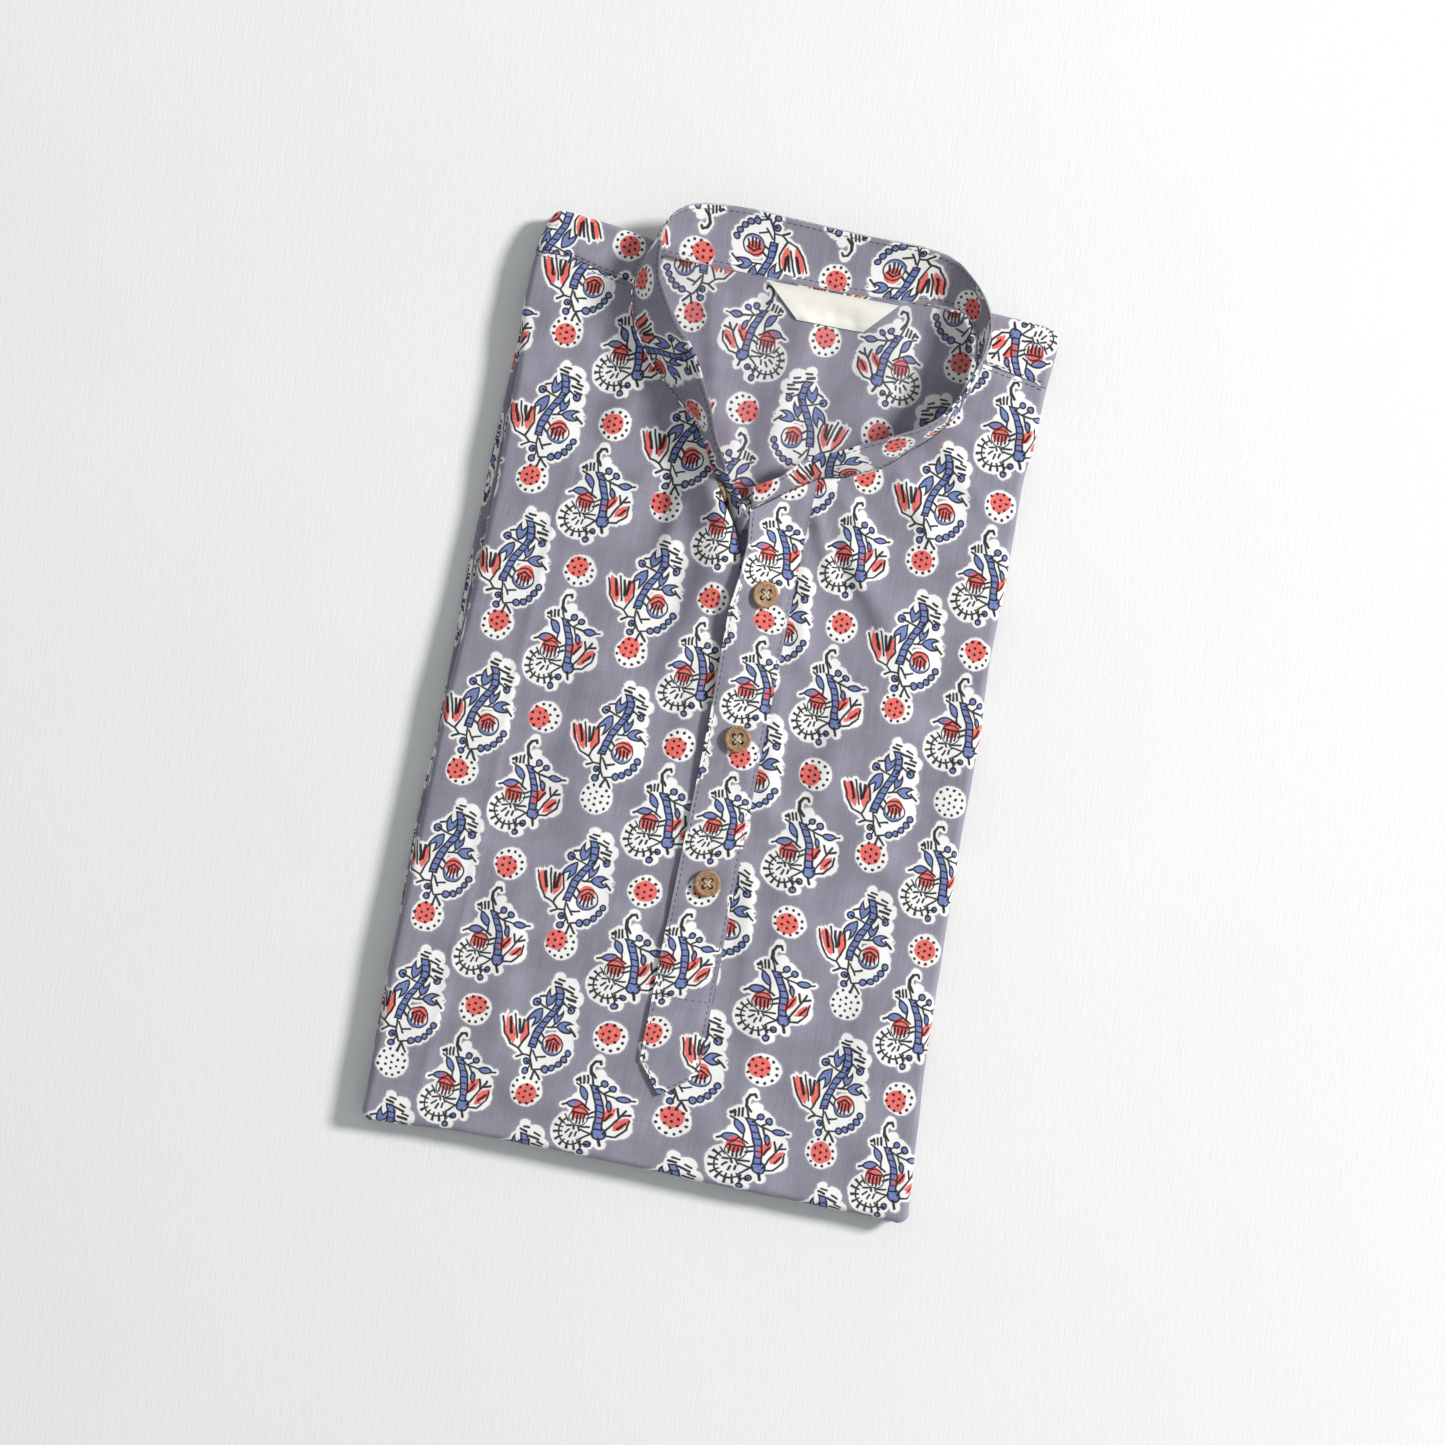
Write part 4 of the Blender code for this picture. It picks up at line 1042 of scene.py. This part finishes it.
B_LINES = (
    (-3.6, 15.1, -4.1, 18.6, 0.5), (-4.1, 18.6, -2.9, 20.9, 0.46), (-2.9, 20.9, -0.9, 21.4, 0.4),
    (-0.9, 21.4, -0.4, 20.2, 0.4), (-3.4, 15.8, -1.6, 13.6, 0.42),
    (-3.5, 15.1, -1.9, 10.6, 0.32), (-9.0, 11.6, -7.8, 12.2, 0.5), (-6.4, 13.6, -5.8, 10.6, 0.36),
    (-4.9, 14.0, -4.3, 11.0, 0.36), (-8.0, 12.8, -7.2, 10.4, 0.36),
    (-2.9, 3.2, -2.6, 0.2, 0.3), (-8.9, 10.0, -6.6, 9.0, 0.3), (-11.2, 0.2, -12.8, -0.6, 0.35),
    (-4.4, 1.6, -0.6, -0.6, 0.32), (-0.4, 9.0, 1.6, 10.8, 0.3), (3.0, 7.6, 5.6, 9.6, 0.3), (0.6, 8.8, 3.0, 7.6, 0.3),
    (3.0, 7.6, 7.8, 6.7, 0.3), (3.8, 7.4, 5.0, 4.4, 0.3), (14.0, 6.7, 15.6, 7.0, 0.3),
    (10.8, -1.9, 9.6, 2.2, 0.36), (10.8, -1.9, 13.0, 2.0, 0.36), (11.6, -0.6, 14.9, 0.4, 0.36),
    (10.8, -1.9, 6.4, -10.0, 0.32), (7.2, -10.9, 11.0, -10.2, 0.32), (11.0, -10.2, 14.6, -6.0, 0.32),
    (14.6, -6.0, 14.9, -2.0, 0.32), (4.9, -12.8, 6.0, -15.6, 0.44), (-1.6, -15.0, -0.9, -19.0, 0.3),
    (-0.8, -16.4, 1.5, -15.9, 0.3), (2.4, -11.0, -2.6, -10.0, 0.3), (2.4, -10.4, -2.2, -14.6, 0.3),
    (-4.4, -8.4, -3.0, -10.6, 0.3), (-0.8, -2.6, 1.6, -1.2, 0.34), (-1.0, -4.8, 1.4, -3.6, 0.34),
    (-3.2, -8.8, 1.0, -8.2, 0.32), (-8.8, -12.4, -7.2, -10.8, 0.32), (-6.6, -14.0, -5.8, -12.0, 0.32),
    (-4.2, -13.2, -3.9, -11.4, 0.32), (-9.0, -9.4, -6.8, -9.0, 0.32), (-6.0, -8.6, -5.4, -10.2, 0.32),
    (-8.1, -2.6, -1.2, -2.6, 0.3), (-7.0, -3.4, -7.0, -6.6, 0.32), (-5.4, -3.6, -5.4, -7.6, 0.32),
    (-3.8, -3.6, -3.9, -7.6, 0.32), (-2.3, -3.4, -2.4, -6.6, 0.32), (6.0, -4.2, 7.9, -0.4, 0.34), (11.0, -6.8, 13.6, -3.6, 0.34),
)
B_RINGS = ((-4.6, -4.5, 4.1, 0.3),)
B_WHITE = ((-1.7, 21.6, 2.6), (0.4, 15.4, 2.6), (3.2, 11.0, 4.2), (-5.6, 12.0, 3.6), (8.0, 7.0, 3.2), (11.4, 1.0, 4.6),
           (11.6, -5.4, 5.4), (6.6, -5.0, 6.0), (-2.0, 4.0, 4.8), (-6.6, 3.0, 3.2), (-4.4, -5.0, 6.0), (-6.0, -11.0, 6.6),
           (0.4, -12.8, 5.2), (6.2, -15.0, 2.4), (0.6, -19.6, 2.2))
B_STEM = ((-8.6, 4.0), (-4.3, 3.8), (0.7, 3.05), (5.8, 0.9), (10.3, -1.5))
LINE_WEIGHT = 1.5
STEM_HALF = 1.35
STEM_CELL = 2.7
FERN = (-6.2, -11.4, 6.0)


class Ink:
    """Builds distance fields, in millimetres, from a shader's math nodes."""

    def __init__(self, tree):
        self.tree = tree

    def _node(self, kind, operation, inputs):
        node = self.tree.nodes.new(kind)
        node.operation = operation
        for socket, item in zip(node.inputs, inputs):
            if isinstance(item, bpy.types.NodeSocket):
                self.tree.links.new(item, socket)
            else:
                socket.default_value = item
        return node

    def value(self, operation, *inputs, clamp=False):
        result = self._node("ShaderNodeMath", operation, inputs).outputs[0]
        if clamp:
            # a node of its own: the math node's own clamp is worked out late, and fills Cycles' stack
            node = self.tree.nodes.new("ShaderNodeClamp")
            self.tree.links.new(result, node.inputs["Value"])
            result = node.outputs[0]
        return result

    def vector(self, operation, *inputs):
        node = self._node("ShaderNodeVectorMath", operation, inputs)
        measured = operation in ("DOT_PRODUCT", "DISTANCE", "LENGTH")
        return node.outputs[1] if measured else node.outputs[0]

    def scaled(self, vector, share):
        node = self._node("ShaderNodeVectorMath", "SCALE", (vector,))
        self.tree.links.new(share, node.inputs["Scale"])
        return node.outputs[0]

    def split(self, vector):
        node = self.tree.nodes.new("ShaderNodeSeparateXYZ")
        self.tree.links.new(vector, node.inputs[0])
        return node.outputs[0], node.outputs[1]

    def join(self, x, y):
        node = self.tree.nodes.new("ShaderNodeCombineXYZ")
        for socket, item in zip(node.inputs, (x, y)):
            if isinstance(item, bpy.types.NodeSocket):
                self.tree.links.new(item, socket)
            else:
                socket.default_value = item
        return node.outputs[0]

    def union(self, field, other):
        return other if field is None else self.value("MINIMUM", field, other)

    def disc(self, place, x, y, radius):
        return self.value("SUBTRACT", self.vector("DISTANCE", place, (x, y, 0.0)), radius)

    def ring(self, place, x, y, radius, half_width):
        edge = self.value("ABSOLUTE", self.disc(place, x, y, radius))
        return self.value("SUBTRACT", edge, half_width)

    def line(self, place, x0, y0, x1, y1, half_width):
        run = (x1 - x0, y1 - y0)
        square = run[0] ** 2 + run[1] ** 2
        share = self.vector("DOT_PRODUCT", place, (run[0] / square, run[1] / square, 0.0))
        share = self.value("SUBTRACT", share, (x0 * run[0] + y0 * run[1]) / square, clamp=True)
        along = self.scaled((run[0], run[1], 0.0), share)
        local = self.vector("SUBTRACT", place, (x0, y0, 0.0))
        return self.value("SUBTRACT", self.vector("DISTANCE", local, along), half_width * LINE_WEIGHT)

    def leaf(self, place, x0, y0, x1, y1, width):
        """Two arcs that meet at the ends."""
        half = math.dist((x0, y0), (x1, y1)) / 2
        radius = (half ** 2 + (width / 2) ** 2) / width
        across = Vector((-(y1 - y0), x1 - x0)).normalized() * (radius - width / 2)
        middle = Vector(((x0 + x1) / 2, (y0 + y1) / 2))
        first, second = middle + across, middle - across
        far = self.value("MAXIMUM", self.vector("DISTANCE", place, (first.x, first.y, 0.0)),
                         self.vector("DISTANCE", place, (second.x, second.y, 0.0)))
        return self.value("SUBTRACT", far, radius)

    def bud(self, place, x0, y0, x1, y1, width):
        """Leaf from its base, with a notch at its open end."""
        run_x, run_y = x1 - x0, y1 - y0
        whole = self.leaf(place, x0, y0, x0 + 1.3 * run_x, y0 + 1.3 * run_y, width)
        notch = self.leaf(place, x0 + 0.6 * run_x, y0 + 0.6 * run_y, x0 + 1.9 * run_x, y0 + 1.9 * run_y, 0.8 * width)
        return self.value("MAXIMUM", whole, self.value("MULTIPLY", notch, -1.0))

    def stem(self, x, y, points):
        """Ladder stem: its filled band, and its lines with even rungs."""
        low, high = points[0][0], points[-1][0]
        share = self.value("MULTIPLY_ADD", y, 1.0 / (high - low), -low / (high - low))
        node = self.tree.nodes.new("ShaderNodeFloatCurve")
        curve = node.mapping.curves[0]
        places = [((along - low) / (high - low), (across + 20.0) / 40.0) for along, across in points]
        curve.points[0].location = places[0]
        curve.points[1].location = places[-1]
        for location in places[1:-1]:
            curve.points.new(*location)
        node.mapping.update()
        self.tree.links.new(share, node.inputs[1])
        offset = self.value("ABSOLUTE", self.value("SUBTRACT", self.value("MULTIPLY_ADD", node.outputs[0], 40.0, -20.0), x))
        lean = 0.88
        side = self.value("MULTIPLY_ADD", offset, lean, -STEM_HALF)
        ends = self.value("SUBTRACT", self.value("ABSOLUTE", self.value("SUBTRACT", y, (low + high) / 2)),
                          (high - low) / 2)
        band = self.value("MAXIMUM", side, ends)
        rung = self.value("PINGPONG", self.value("ADD", y, 60.0), STEM_CELL / 2)
        rung = self.value("MAXIMUM", self.value("SUBTRACT", rung, 0.30), band)
        outline = self.value("SUBTRACT", self.value("ABSOLUTE", band), 0.36)
        return band, self.value("MINIMUM", rung, outline)

    def specks(self, x, y, count, radius, size, turn):
        """Even dots round a circle about the origin."""
        angle = self.value("ARCTAN2", y, x)
        step = 2 * math.pi / count
        wrapped = self.value("WRAP", self.value("ADD", angle, turn), step / 2, -step / 2)
        around = self.value("MULTIPLY", wrapped, radius)
        away = self.value("SUBTRACT", self.vector("LENGTH", self.join(x, y)), radius)
        return self.value("SUBTRACT", self.vector("LENGTH", self.join(around, away)), size)

    def fern(self, x, y, centre_x, centre_y, radius):
        """Lower arc with short strokes across it."""
        dx = self.value("SUBTRACT", x, centre_x)
        dy = self.value("SUBTRACT", y, centre_y)
        local = self.join(dx, dy)
        away = self.value("SUBTRACT", self.vector("LENGTH", local), radius)
        arc = self.value("SUBTRACT", self.value("ABSOLUTE", away), 0.42)
        step = 2 * math.pi / 15
        wrapped = self.value("WRAP", self.value("ARCTAN2", dy, dx), step / 2, -step / 2)
        around = self.value("ABSOLUTE", self.value("MULTIPLY", wrapped, radius))
        beyond = self.value("SUBTRACT", self.value("ABSOLUTE", self.value("SUBTRACT", away, 0.4)), 2.1)
        stroke = self.value("MAXIMUM", self.value("SUBTRACT", around, 0.5), beyond)
        both = self.value("MINIMUM", arc, stroke)
        cut = self.vector("DOT_PRODUCT", local, (0.75, 0.66, 0.0))
        return self.value("MAXIMUM", both, self.value("SUBTRACT", cut, 1.6))

    def mix(self, share, first, second):
        node = self.tree.nodes.new("ShaderNodeMix")
        node.data_type = "RGBA"
        sockets = (node.inputs["Factor"], node.inputs[6], node.inputs[7])
        for socket, item in zip(sockets, (share, first, second)):
            if isinstance(item, bpy.types.NodeSocket):
                self.tree.links.new(item, socket)
            else:
                socket.default_value = item
        return node.outputs[2]

    def cover(self, field, softness=0.22):
        """1 inside a field, 0 outside it."""
        return self.value("MULTIPLY_ADD", field, -1.0 / (2 * softness), 0.5, clamp=True)

    def noise(self, vector, scale, detail=2.0, roughness=0.5):
        node = self.tree.nodes.new("ShaderNodeTexNoise")
        node.noise_dimensions = "3D"
        node.inputs["Scale"].default_value = scale
        node.inputs["Detail"].default_value = detail
        node.inputs["Roughness"].default_value = roughness
        self.tree.links.new(vector, node.inputs["Vector"])
        return node.outputs[0], node.outputs[1]


def motif(ink, x, y, off, red, tables):
    """One motif's blue, red, line and white fields."""
    blue_leaves, blue_buds, blue_dots, red_leaves, red_dots, lines, rings, white, stem = tables
    place = ink.join(x, y)
    red_place = ink.vector("ADD", place, off)
    blue, lines_field = ink.stem(x, y, stem)
    for row in blue_leaves:
        blue = ink.union(blue, ink.leaf(place, *row))
    for row in blue_buds:
        blue = ink.union(blue, ink.bud(place, *row))
    for row in blue_dots:
        blue = ink.union(blue, ink.disc(place, *row))
    outline = ink.value("SUBTRACT", ink.value("ABSOLUTE", blue), 0.38)
    lines_field = ink.union(lines_field, outline)
    for row in lines:
        lines_field = ink.union(lines_field, ink.line(place, *row))
    for row in rings:
        lines_field = ink.union(lines_field, ink.ring(place, *row))
    for row in red_leaves:
        red = ink.union(red, ink.leaf(red_place, *row))
    for row in red_dots:
        red = ink.union(red, ink.disc(red_place, *row))
    white_field = None
    for row in white:
        white_field = ink.union(white_field, ink.disc(place, *row))
    return blue, red, lines_field, white_field


def print_colour(ink, place, wrong_side):
    """Colour of the block print at cloth coordinates in millimetres."""
    wander = ink.noise(place, 0.16, 1.0)[1]
    wobble = ink.vector("MULTIPLY_ADD", wander, (1.5, 1.5, 0.0), (-0.75, -0.75, 0.0))
    drawn = ink.vector("ADD", place, wobble)
    u, v = ink.split(drawn)
    # each stamp of the red block lands a little off the lines
    cell = ink.join(ink.value("FLOOR", ink.value("DIVIDE", ink.value("ADD", u, 15.2), 30.5)),
                    ink.value("FLOOR", ink.value("DIVIDE", ink.value("ADD", v, 38.5), ROW_PITCH)))
    chance = ink.tree.nodes.new("ShaderNodeTexWhiteNoise")
    chance.noise_dimensions = "2D"
    ink.tree.links.new(cell, chance.inputs["Vector"])
    off = ink.vector("MULTIPLY_ADD", chance.outputs["Color"], (1.7, 1.7, 0.0), (-0.55, -1.05, 0.0))
    a_x, a_y = ink.value("WRAP", u, 30.5, -30.5), ink.value("WRAP", v, 28.3, -38.5)
    b_x = ink.value("WRAP", ink.value("SUBTRACT", u, 30.5), 30.5, -30.5)
    b_y = ink.value("WRAP", ink.value("ADD", v, 31.5), 39.8, -27.0)
    blue_a, red, lines_a, white_a = motif(ink, a_x, a_y, off, None, (
        A_BLUE_LEAVES, A_BLUE_BUDS, A_BLUE_DOTS, A_RED_LEAVES, A_RED_DOTS, A_LINES, A_RINGS, A_WHITE, A_STEM))
    # the crescent at the foot of the round flower
    a_place = ink.join(a_x, a_y)
    crescent = ink.value("MAXIMUM", ink.disc(a_place, 6.9, -7.6, 4.4),
                         ink.value("MULTIPLY", ink.disc(a_place, 7.3, -6.3, 4.4), -1.0))
    blue_a = ink.union(blue_a, crescent)
    blue_b, red, lines_b, white_b = motif(ink, b_x, b_y, off, red, (
        B_BLUE_LEAVES, B_BLUE_BUDS, B_BLUE_DOTS, B_RED_LEAVES, B_RED_DOTS, B_LINES, B_RINGS, B_WHITE, B_STEM))
    lines = ink.union(ink.union(lines_a, lines_b), ink.fern(b_x, b_y, *FERN))
    blue = ink.union(blue_a, blue_b)
    white = ink.union(ink.union(white_a, white_b), ink.value("SUBTRACT", ink.union(ink.union(lines, blue), red), 1.0))
    # the spotted disc between the motifs of each column
    column = ink.value("FLOOR", ink.value("DIVIDE", ink.value("ADD", u, 15.25), 30.5))
    odd = ink.value("PINGPONG", column, 1.0)
    disc_x = ink.value("SUBTRACT", u, ink.value("MULTIPLY", column, 30.5))
    disc_y = ink.value("WRAP", ink.value("ADD", ink.value("MULTIPLY_ADD", odd, -30.5, 29.5), v), 33.4, -33.4)
    disc_place = ink.join(disc_x, disc_y)
    white = ink.union(white, ink.disc(disc_place, 0.3, 0.2, 7.3))
    coral = ink.disc(ink.vector("ADD", disc_place, ink.vector("MULTIPLY", off, (2.1, 2.1, 0.0))), 0.0, 0.0, 4.7)
    missing = ink.value("MULTIPLY", ink.value("LESS_THAN", chance.outputs["Value"], 0.13), 9.0)
    red = ink.union(red, ink.value("ADD", coral, missing))
    lines = ink.union(lines, ink.specks(disc_x, disc_y, 12, 5.8, 0.72, 0.2))
    lines = ink.union(lines, ink.specks(disc_x, disc_y, 6, 2.9, 0.66, 0.5))
    lines = ink.union(lines, ink.disc(disc_place, 0.0, 0.0, 0.66))
    return blend_colours(ink, place, white, blue, red, lines, wrong_side)


def blend_colours(ink, place, white, blue, red, lines, wrong_side):
    slow = ink.noise(place, 0.045, 2.0)[0]
    streak_place = ink.vector("MULTIPLY", place, (1.6, 0.05, 1.0))
    warp = ink.noise(streak_place, 1.0, 3.0, 0.7)[0]
    weft_place = ink.vector("MULTIPLY", place, (0.05, 1.6, 1.0))
    weft = ink.noise(weft_place, 1.0, 3.0, 0.7)[0]
    uneven = ink.noise(place, 0.9, 3.0, 0.65)[0]
    edge = ink.value("MULTIPLY_ADD", uneven, 1.2, -0.6)
    shade = ink.value("MULTIPLY_ADD", warp, 0.9, ink.value("MULTIPLY_ADD", weft, 0.45, ink.value("MULTIPLY", slow, 0.9)))
    shade = ink.value("MULTIPLY_ADD", shade, 0.7, 0.2)
    ground = ink.scaled(GROUND[:3], shade)
    ragged = ink.value("ADD", white, edge)
    halo = ink.value("MULTIPLY", ink.cover(ink.value("SUBTRACT", ragged, 0.6), 0.9), 0.07)
    colour = ink.mix(halo, ground, WHITE)
    colour = ink.mix(ink.cover(ragged, 0.3), colour, WHITE)
    patchy = ink.value("MULTIPLY_ADD", uneven, -0.5, 1.17, clamp=True)
    blue_share = ink.value("MULTIPLY", ink.cover(blue), patchy)
    colour = ink.mix(blue_share, colour, BLUE)
    red_share = ink.value("MULTIPLY", ink.cover(ink.value("MULTIPLY_ADD", edge, 0.35, red)), patchy)
    colour = ink.mix(red_share, colour, CORAL)
    ink_share = ink.value("MULTIPLY", ink.cover(ink.value("MULTIPLY_ADD", edge, 0.16, lines), 0.16), 0.97)
    colour = ink.mix(ink_share, colour, INK)
    if wrong_side:
        colour = ink.mix(0.17, colour, linear(136, 129, 145))
    return colour


def cloth_coordinates(tree):
    node = tree.nodes.new("ShaderNodeUVMap")
    node.uv_map = "cloth"
    return node.outputs[0]


def weave_bump(ink, place, strength, distance):
    """Fine uneven yarns both ways."""
    warp = ink.noise(ink.vector("MULTIPLY", place, (3.4, 0.22, 1.0)), 1.0, 1.0)[0]
    weft = ink.noise(ink.vector("MULTIPLY", place, (0.22, 3.0, 1.0)), 1.0, 1.0)[0]
    height = ink.value("ADD", warp, weft)
    bump = ink.tree.nodes.new("ShaderNodeBump")
    bump.inputs["Strength"].default_value = strength
    bump.inputs["Distance"].default_value = distance
    ink.tree.links.new(height, bump.inputs["Height"])
    return bump.outputs[0]


def new_material(name, roughness, sheen=0.0, specular=0.5):
    material = bpy.data.materials.new(name)
    material.use_nodes = True
    shader = material.node_tree.nodes["Principled BSDF"]
    shader.inputs["Roughness"].default_value = roughness
    shader.inputs["Sheen Weight"].default_value = sheen
    shader.inputs["Sheen Roughness"].default_value = 0.5
    shader.inputs["Specular IOR Level"].default_value = specular
    return material, shader, Ink(material.node_tree)


def printed_cotton(name, wrong_side):
    material, shader, ink = new_material(name, 0.86, sheen=0.12, specular=0.28)
    place = cloth_coordinates(material.node_tree)
    colour = print_colour(ink, place, wrong_side)
    material.node_tree.links.new(colour, shader.inputs["Base Color"])
    material.node_tree.links.new(weave_bump(ink, place, 0.35, 0.00012), shader.inputs["Normal"])
    return material


def wood_material():
    material, shader, ink = new_material("button_wood", 0.5, specular=0.4)
    place = cloth_coordinates(material.node_tree)
    grain_place = ink.vector("MULTIPLY", place, (0.5, 1.9, 1.0))
    grain = ink.noise(grain_place, 1.0, 5.0, 0.75)[0]
    pores = ink.noise(ink.vector("MULTIPLY", place, (1.3, 3.6, 1.0)), 1.0, 3.0)[0]
    ramp = ink.value("MULTIPLY_ADD", grain, 4.0, -1.5, clamp=True)
    colour = ink.mix(ramp, linear(108, 79, 54), linear(194, 158, 118))
    dark = ink.value("MULTIPLY_ADD", pores, -7.0, 3.3, clamp=True)
    colour = ink.mix(ink.value("MULTIPLY", dark, 0.75), colour, linear(62, 42, 28))
    material.node_tree.links.new(colour, shader.inputs["Base Color"])
    bump = ink.tree.nodes.new("ShaderNodeBump")
    bump.inputs["Strength"].default_value = 0.4
    bump.inputs["Distance"].default_value = 0.0002
    ink.tree.links.new(grain, bump.inputs["Height"])
    material.node_tree.links.new(bump.outputs[0], shader.inputs["Normal"])
    return material


def thread_material(name, dark, light):
    material, shader, ink = new_material(name, 0.7, sheen=0.2, specular=0.3)
    place = cloth_coordinates(material.node_tree)
    twist = ink.noise(place, 2.5, 2.0)[0]
    colour = ink.mix(twist, dark, light)
    material.node_tree.links.new(colour, shader.inputs["Base Color"])
    return material


def label_material():
    material, shader, ink = new_material("label_tape", 0.6, sheen=0.15, specular=0.35)
    place = cloth_coordinates(material.node_tree)
    rib = ink.noise(ink.vector("MULTIPLY", place, (4.0, 0.3, 1.0)), 1.0, 1.0)[0]
    colour = ink.mix(rib, linear(226, 224, 214), linear(246, 245, 238))
    material.node_tree.links.new(colour, shader.inputs["Base Color"])
    bump = ink.tree.nodes.new("ShaderNodeBump")
    bump.inputs["Strength"].default_value = 0.4
    bump.inputs["Distance"].default_value = 0.0001
    ink.tree.links.new(rib, bump.inputs["Height"])
    material.node_tree.links.new(bump.outputs[0], shader.inputs["Normal"])
    return material


def floor_material():
    material, shader, ink = new_material("floor_paper", 0.85, specular=0.2)
    node = material.node_tree.nodes.new("ShaderNodeTexCoord")
    place = node.outputs["Object"]
    fibres = ink.noise(ink.vector("MULTIPLY", place, (900.0, 90.0, 1.0)), 1.0, 4.0, 0.7)[0]
    clouds = ink.noise(place, 7.0, 3.0)[0]
    share = ink.value("MULTIPLY_ADD", fibres, 0.5, ink.value("MULTIPLY", clouds, 0.5))
    colour = ink.mix(share, linear(226, 229, 228), linear(240, 242, 241))
    material.node_tree.links.new(colour, shader.inputs["Base Color"])
    bump = ink.tree.nodes.new("ShaderNodeBump")
    bump.inputs["Strength"].default_value = 0.35
    bump.inputs["Distance"].default_value = 0.0005
    ink.tree.links.new(fibres, bump.inputs["Height"])
    material.node_tree.links.new(bump.outputs[0], shader.inputs["Normal"])
    return material


def build_floor(material):
    mesh = bmesh.new()
    bmesh.ops.create_grid(mesh, x_segments=4, y_segments=4, size=3.0)
    data = bpy.data.meshes.new("floor")
    mesh.to_mesh(data)
    mesh.free()
    floor = bpy.data.objects.new("floor", data)
    floor.location.z = -0.0002
    data.materials.append(material)
    bpy.context.scene.collection.objects.link(floor)
    return floor


def add_light(name, place, size, energy, colour):
    data = bpy.data.lights.new(name, "AREA")
    data.shape = "DISK"
    data.size = size
    data.energy = energy
    data.color = colour
    light = bpy.data.objects.new(name, data)
    light.location = place
    light.rotation_mode = "QUATERNION"
    light.rotation_quaternion = (-Vector(place)).to_track_quat("-Z", "Y")
    bpy.context.scene.collection.objects.link(light)


def light_the_scene():
    elevation = math.radians(33.0)
    distance = 4.0
    direction = Vector((0.885 * math.cos(elevation), 0.464 * math.cos(elevation), math.sin(elevation)))
    add_light("key", direction * distance, 0.775, 190.0, (1.0, 0.985, 0.965))
    world = bpy.data.worlds.new("studio")
    world.use_nodes = True
    background = world.node_tree.nodes["Background"]
    background.inputs["Color"].default_value = (0.97, 0.99, 1.0, 1.0)
    background.inputs["Strength"].default_value = 0.44
    bpy.context.scene.world = world
    bpy.context.scene.view_settings.view_transform = "Standard"


CLOTH_LEVEL = 0.012


def add_camera():
    """Straight down, at the photo's angle and framing."""
    field = 0.643
    distance = 1.55
    data = bpy.data.cameras.new("camera")
    data.sensor_width = 36.0
    data.lens = data.sensor_width * (distance - CLOTH_LEVEL) / field
    data.clip_end = 20.0
    camera = bpy.data.objects.new("camera", data)
    camera.location = (0.0021, -0.0108, distance)
    camera.rotation_euler = (0.0, 0.0, math.radians(10.8))
    bpy.context.scene.collection.objects.link(camera)
    bpy.context.scene.camera = camera


def settle(piece, slot_name, *nodes):
    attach(piece, "root")
    if nodes:
        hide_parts(*nodes)


def main():
    right_side = printed_cotton("printed_cotton", wrong_side=False)
    wrong_side = printed_cotton("printed_cotton_inside", wrong_side=True)
    materials = {"wood": wood_material(), "label": label_material(),
                 "thread": thread_material("sewing_thread", linear(66, 60, 76), linear(100, 94, 112)),
                 "cream": thread_material("button_thread", linear(196, 184, 158), linear(236, 228, 208))}
    front = build_front(right_side)
    yoke_left, yoke_right = build_yokes(right_side)
    back = build_back(wrong_side)
    layers = build_layers(right_side)
    collar = build_collar(right_side)
    placket = build_placket(right_side)
    underlap = build_underlap(right_side)
    label = build_label(materials["label"])
    for piece, node in ((front, "front"), (yoke_left, "yoke_left"), (yoke_right, "yoke_right"), (back, "back"),
                        (layers, "folded_layers"), (collar, "collar"), (placket, "placket"),
                        (underlap, "placket_under")):
        settle(piece, "printed_cotton", node)
    settle(label, "label_tape", "label")
    threads = []
    for index, (x, y) in enumerate(BUTTONS):
        normal = surface_normal(x, y, placket_height)
        place = Vector((x, y, placket_height(x, y))) + normal * 0.35
        button, sewn = build_button(f"wood_button_{index + 1}", place, normal, 0.3 + 0.8 * index, materials)
        settle(button, "button_wood", f"button_{index + 1}")
        threads += sewn
    grid = collar_grid()
    row = round(TOP_BUTTON_ROW * COLLAR_STEPS)
    middle = TOP_BUTTON_SHARE
    rise = Vector(grid[row, -1] - grid[row, 0])
    along = Vector(grid[row + 1, middle] - grid[row - 1, middle])
    normal = rise.cross(along).normalized()
    if normal.x > 0:
        normal = -normal
    place = Vector(grid[row, middle]) + normal * (DOUBLE / 2 + 0.35)
    button, sewn = build_button("wood_button_4", place, normal, 0.5, materials)
    settle(button, "button_wood", "button_4")
    threads += sewn
    sewn_on = build_threads("button_threads", threads, 0.17, materials["cream"])
    settle(sewn_on, None)
    stitching = build_stitching(materials["thread"])
    settle(stitching, None)
    floor = build_floor(floor_material())
    light_the_scene()
    add_camera()


main()
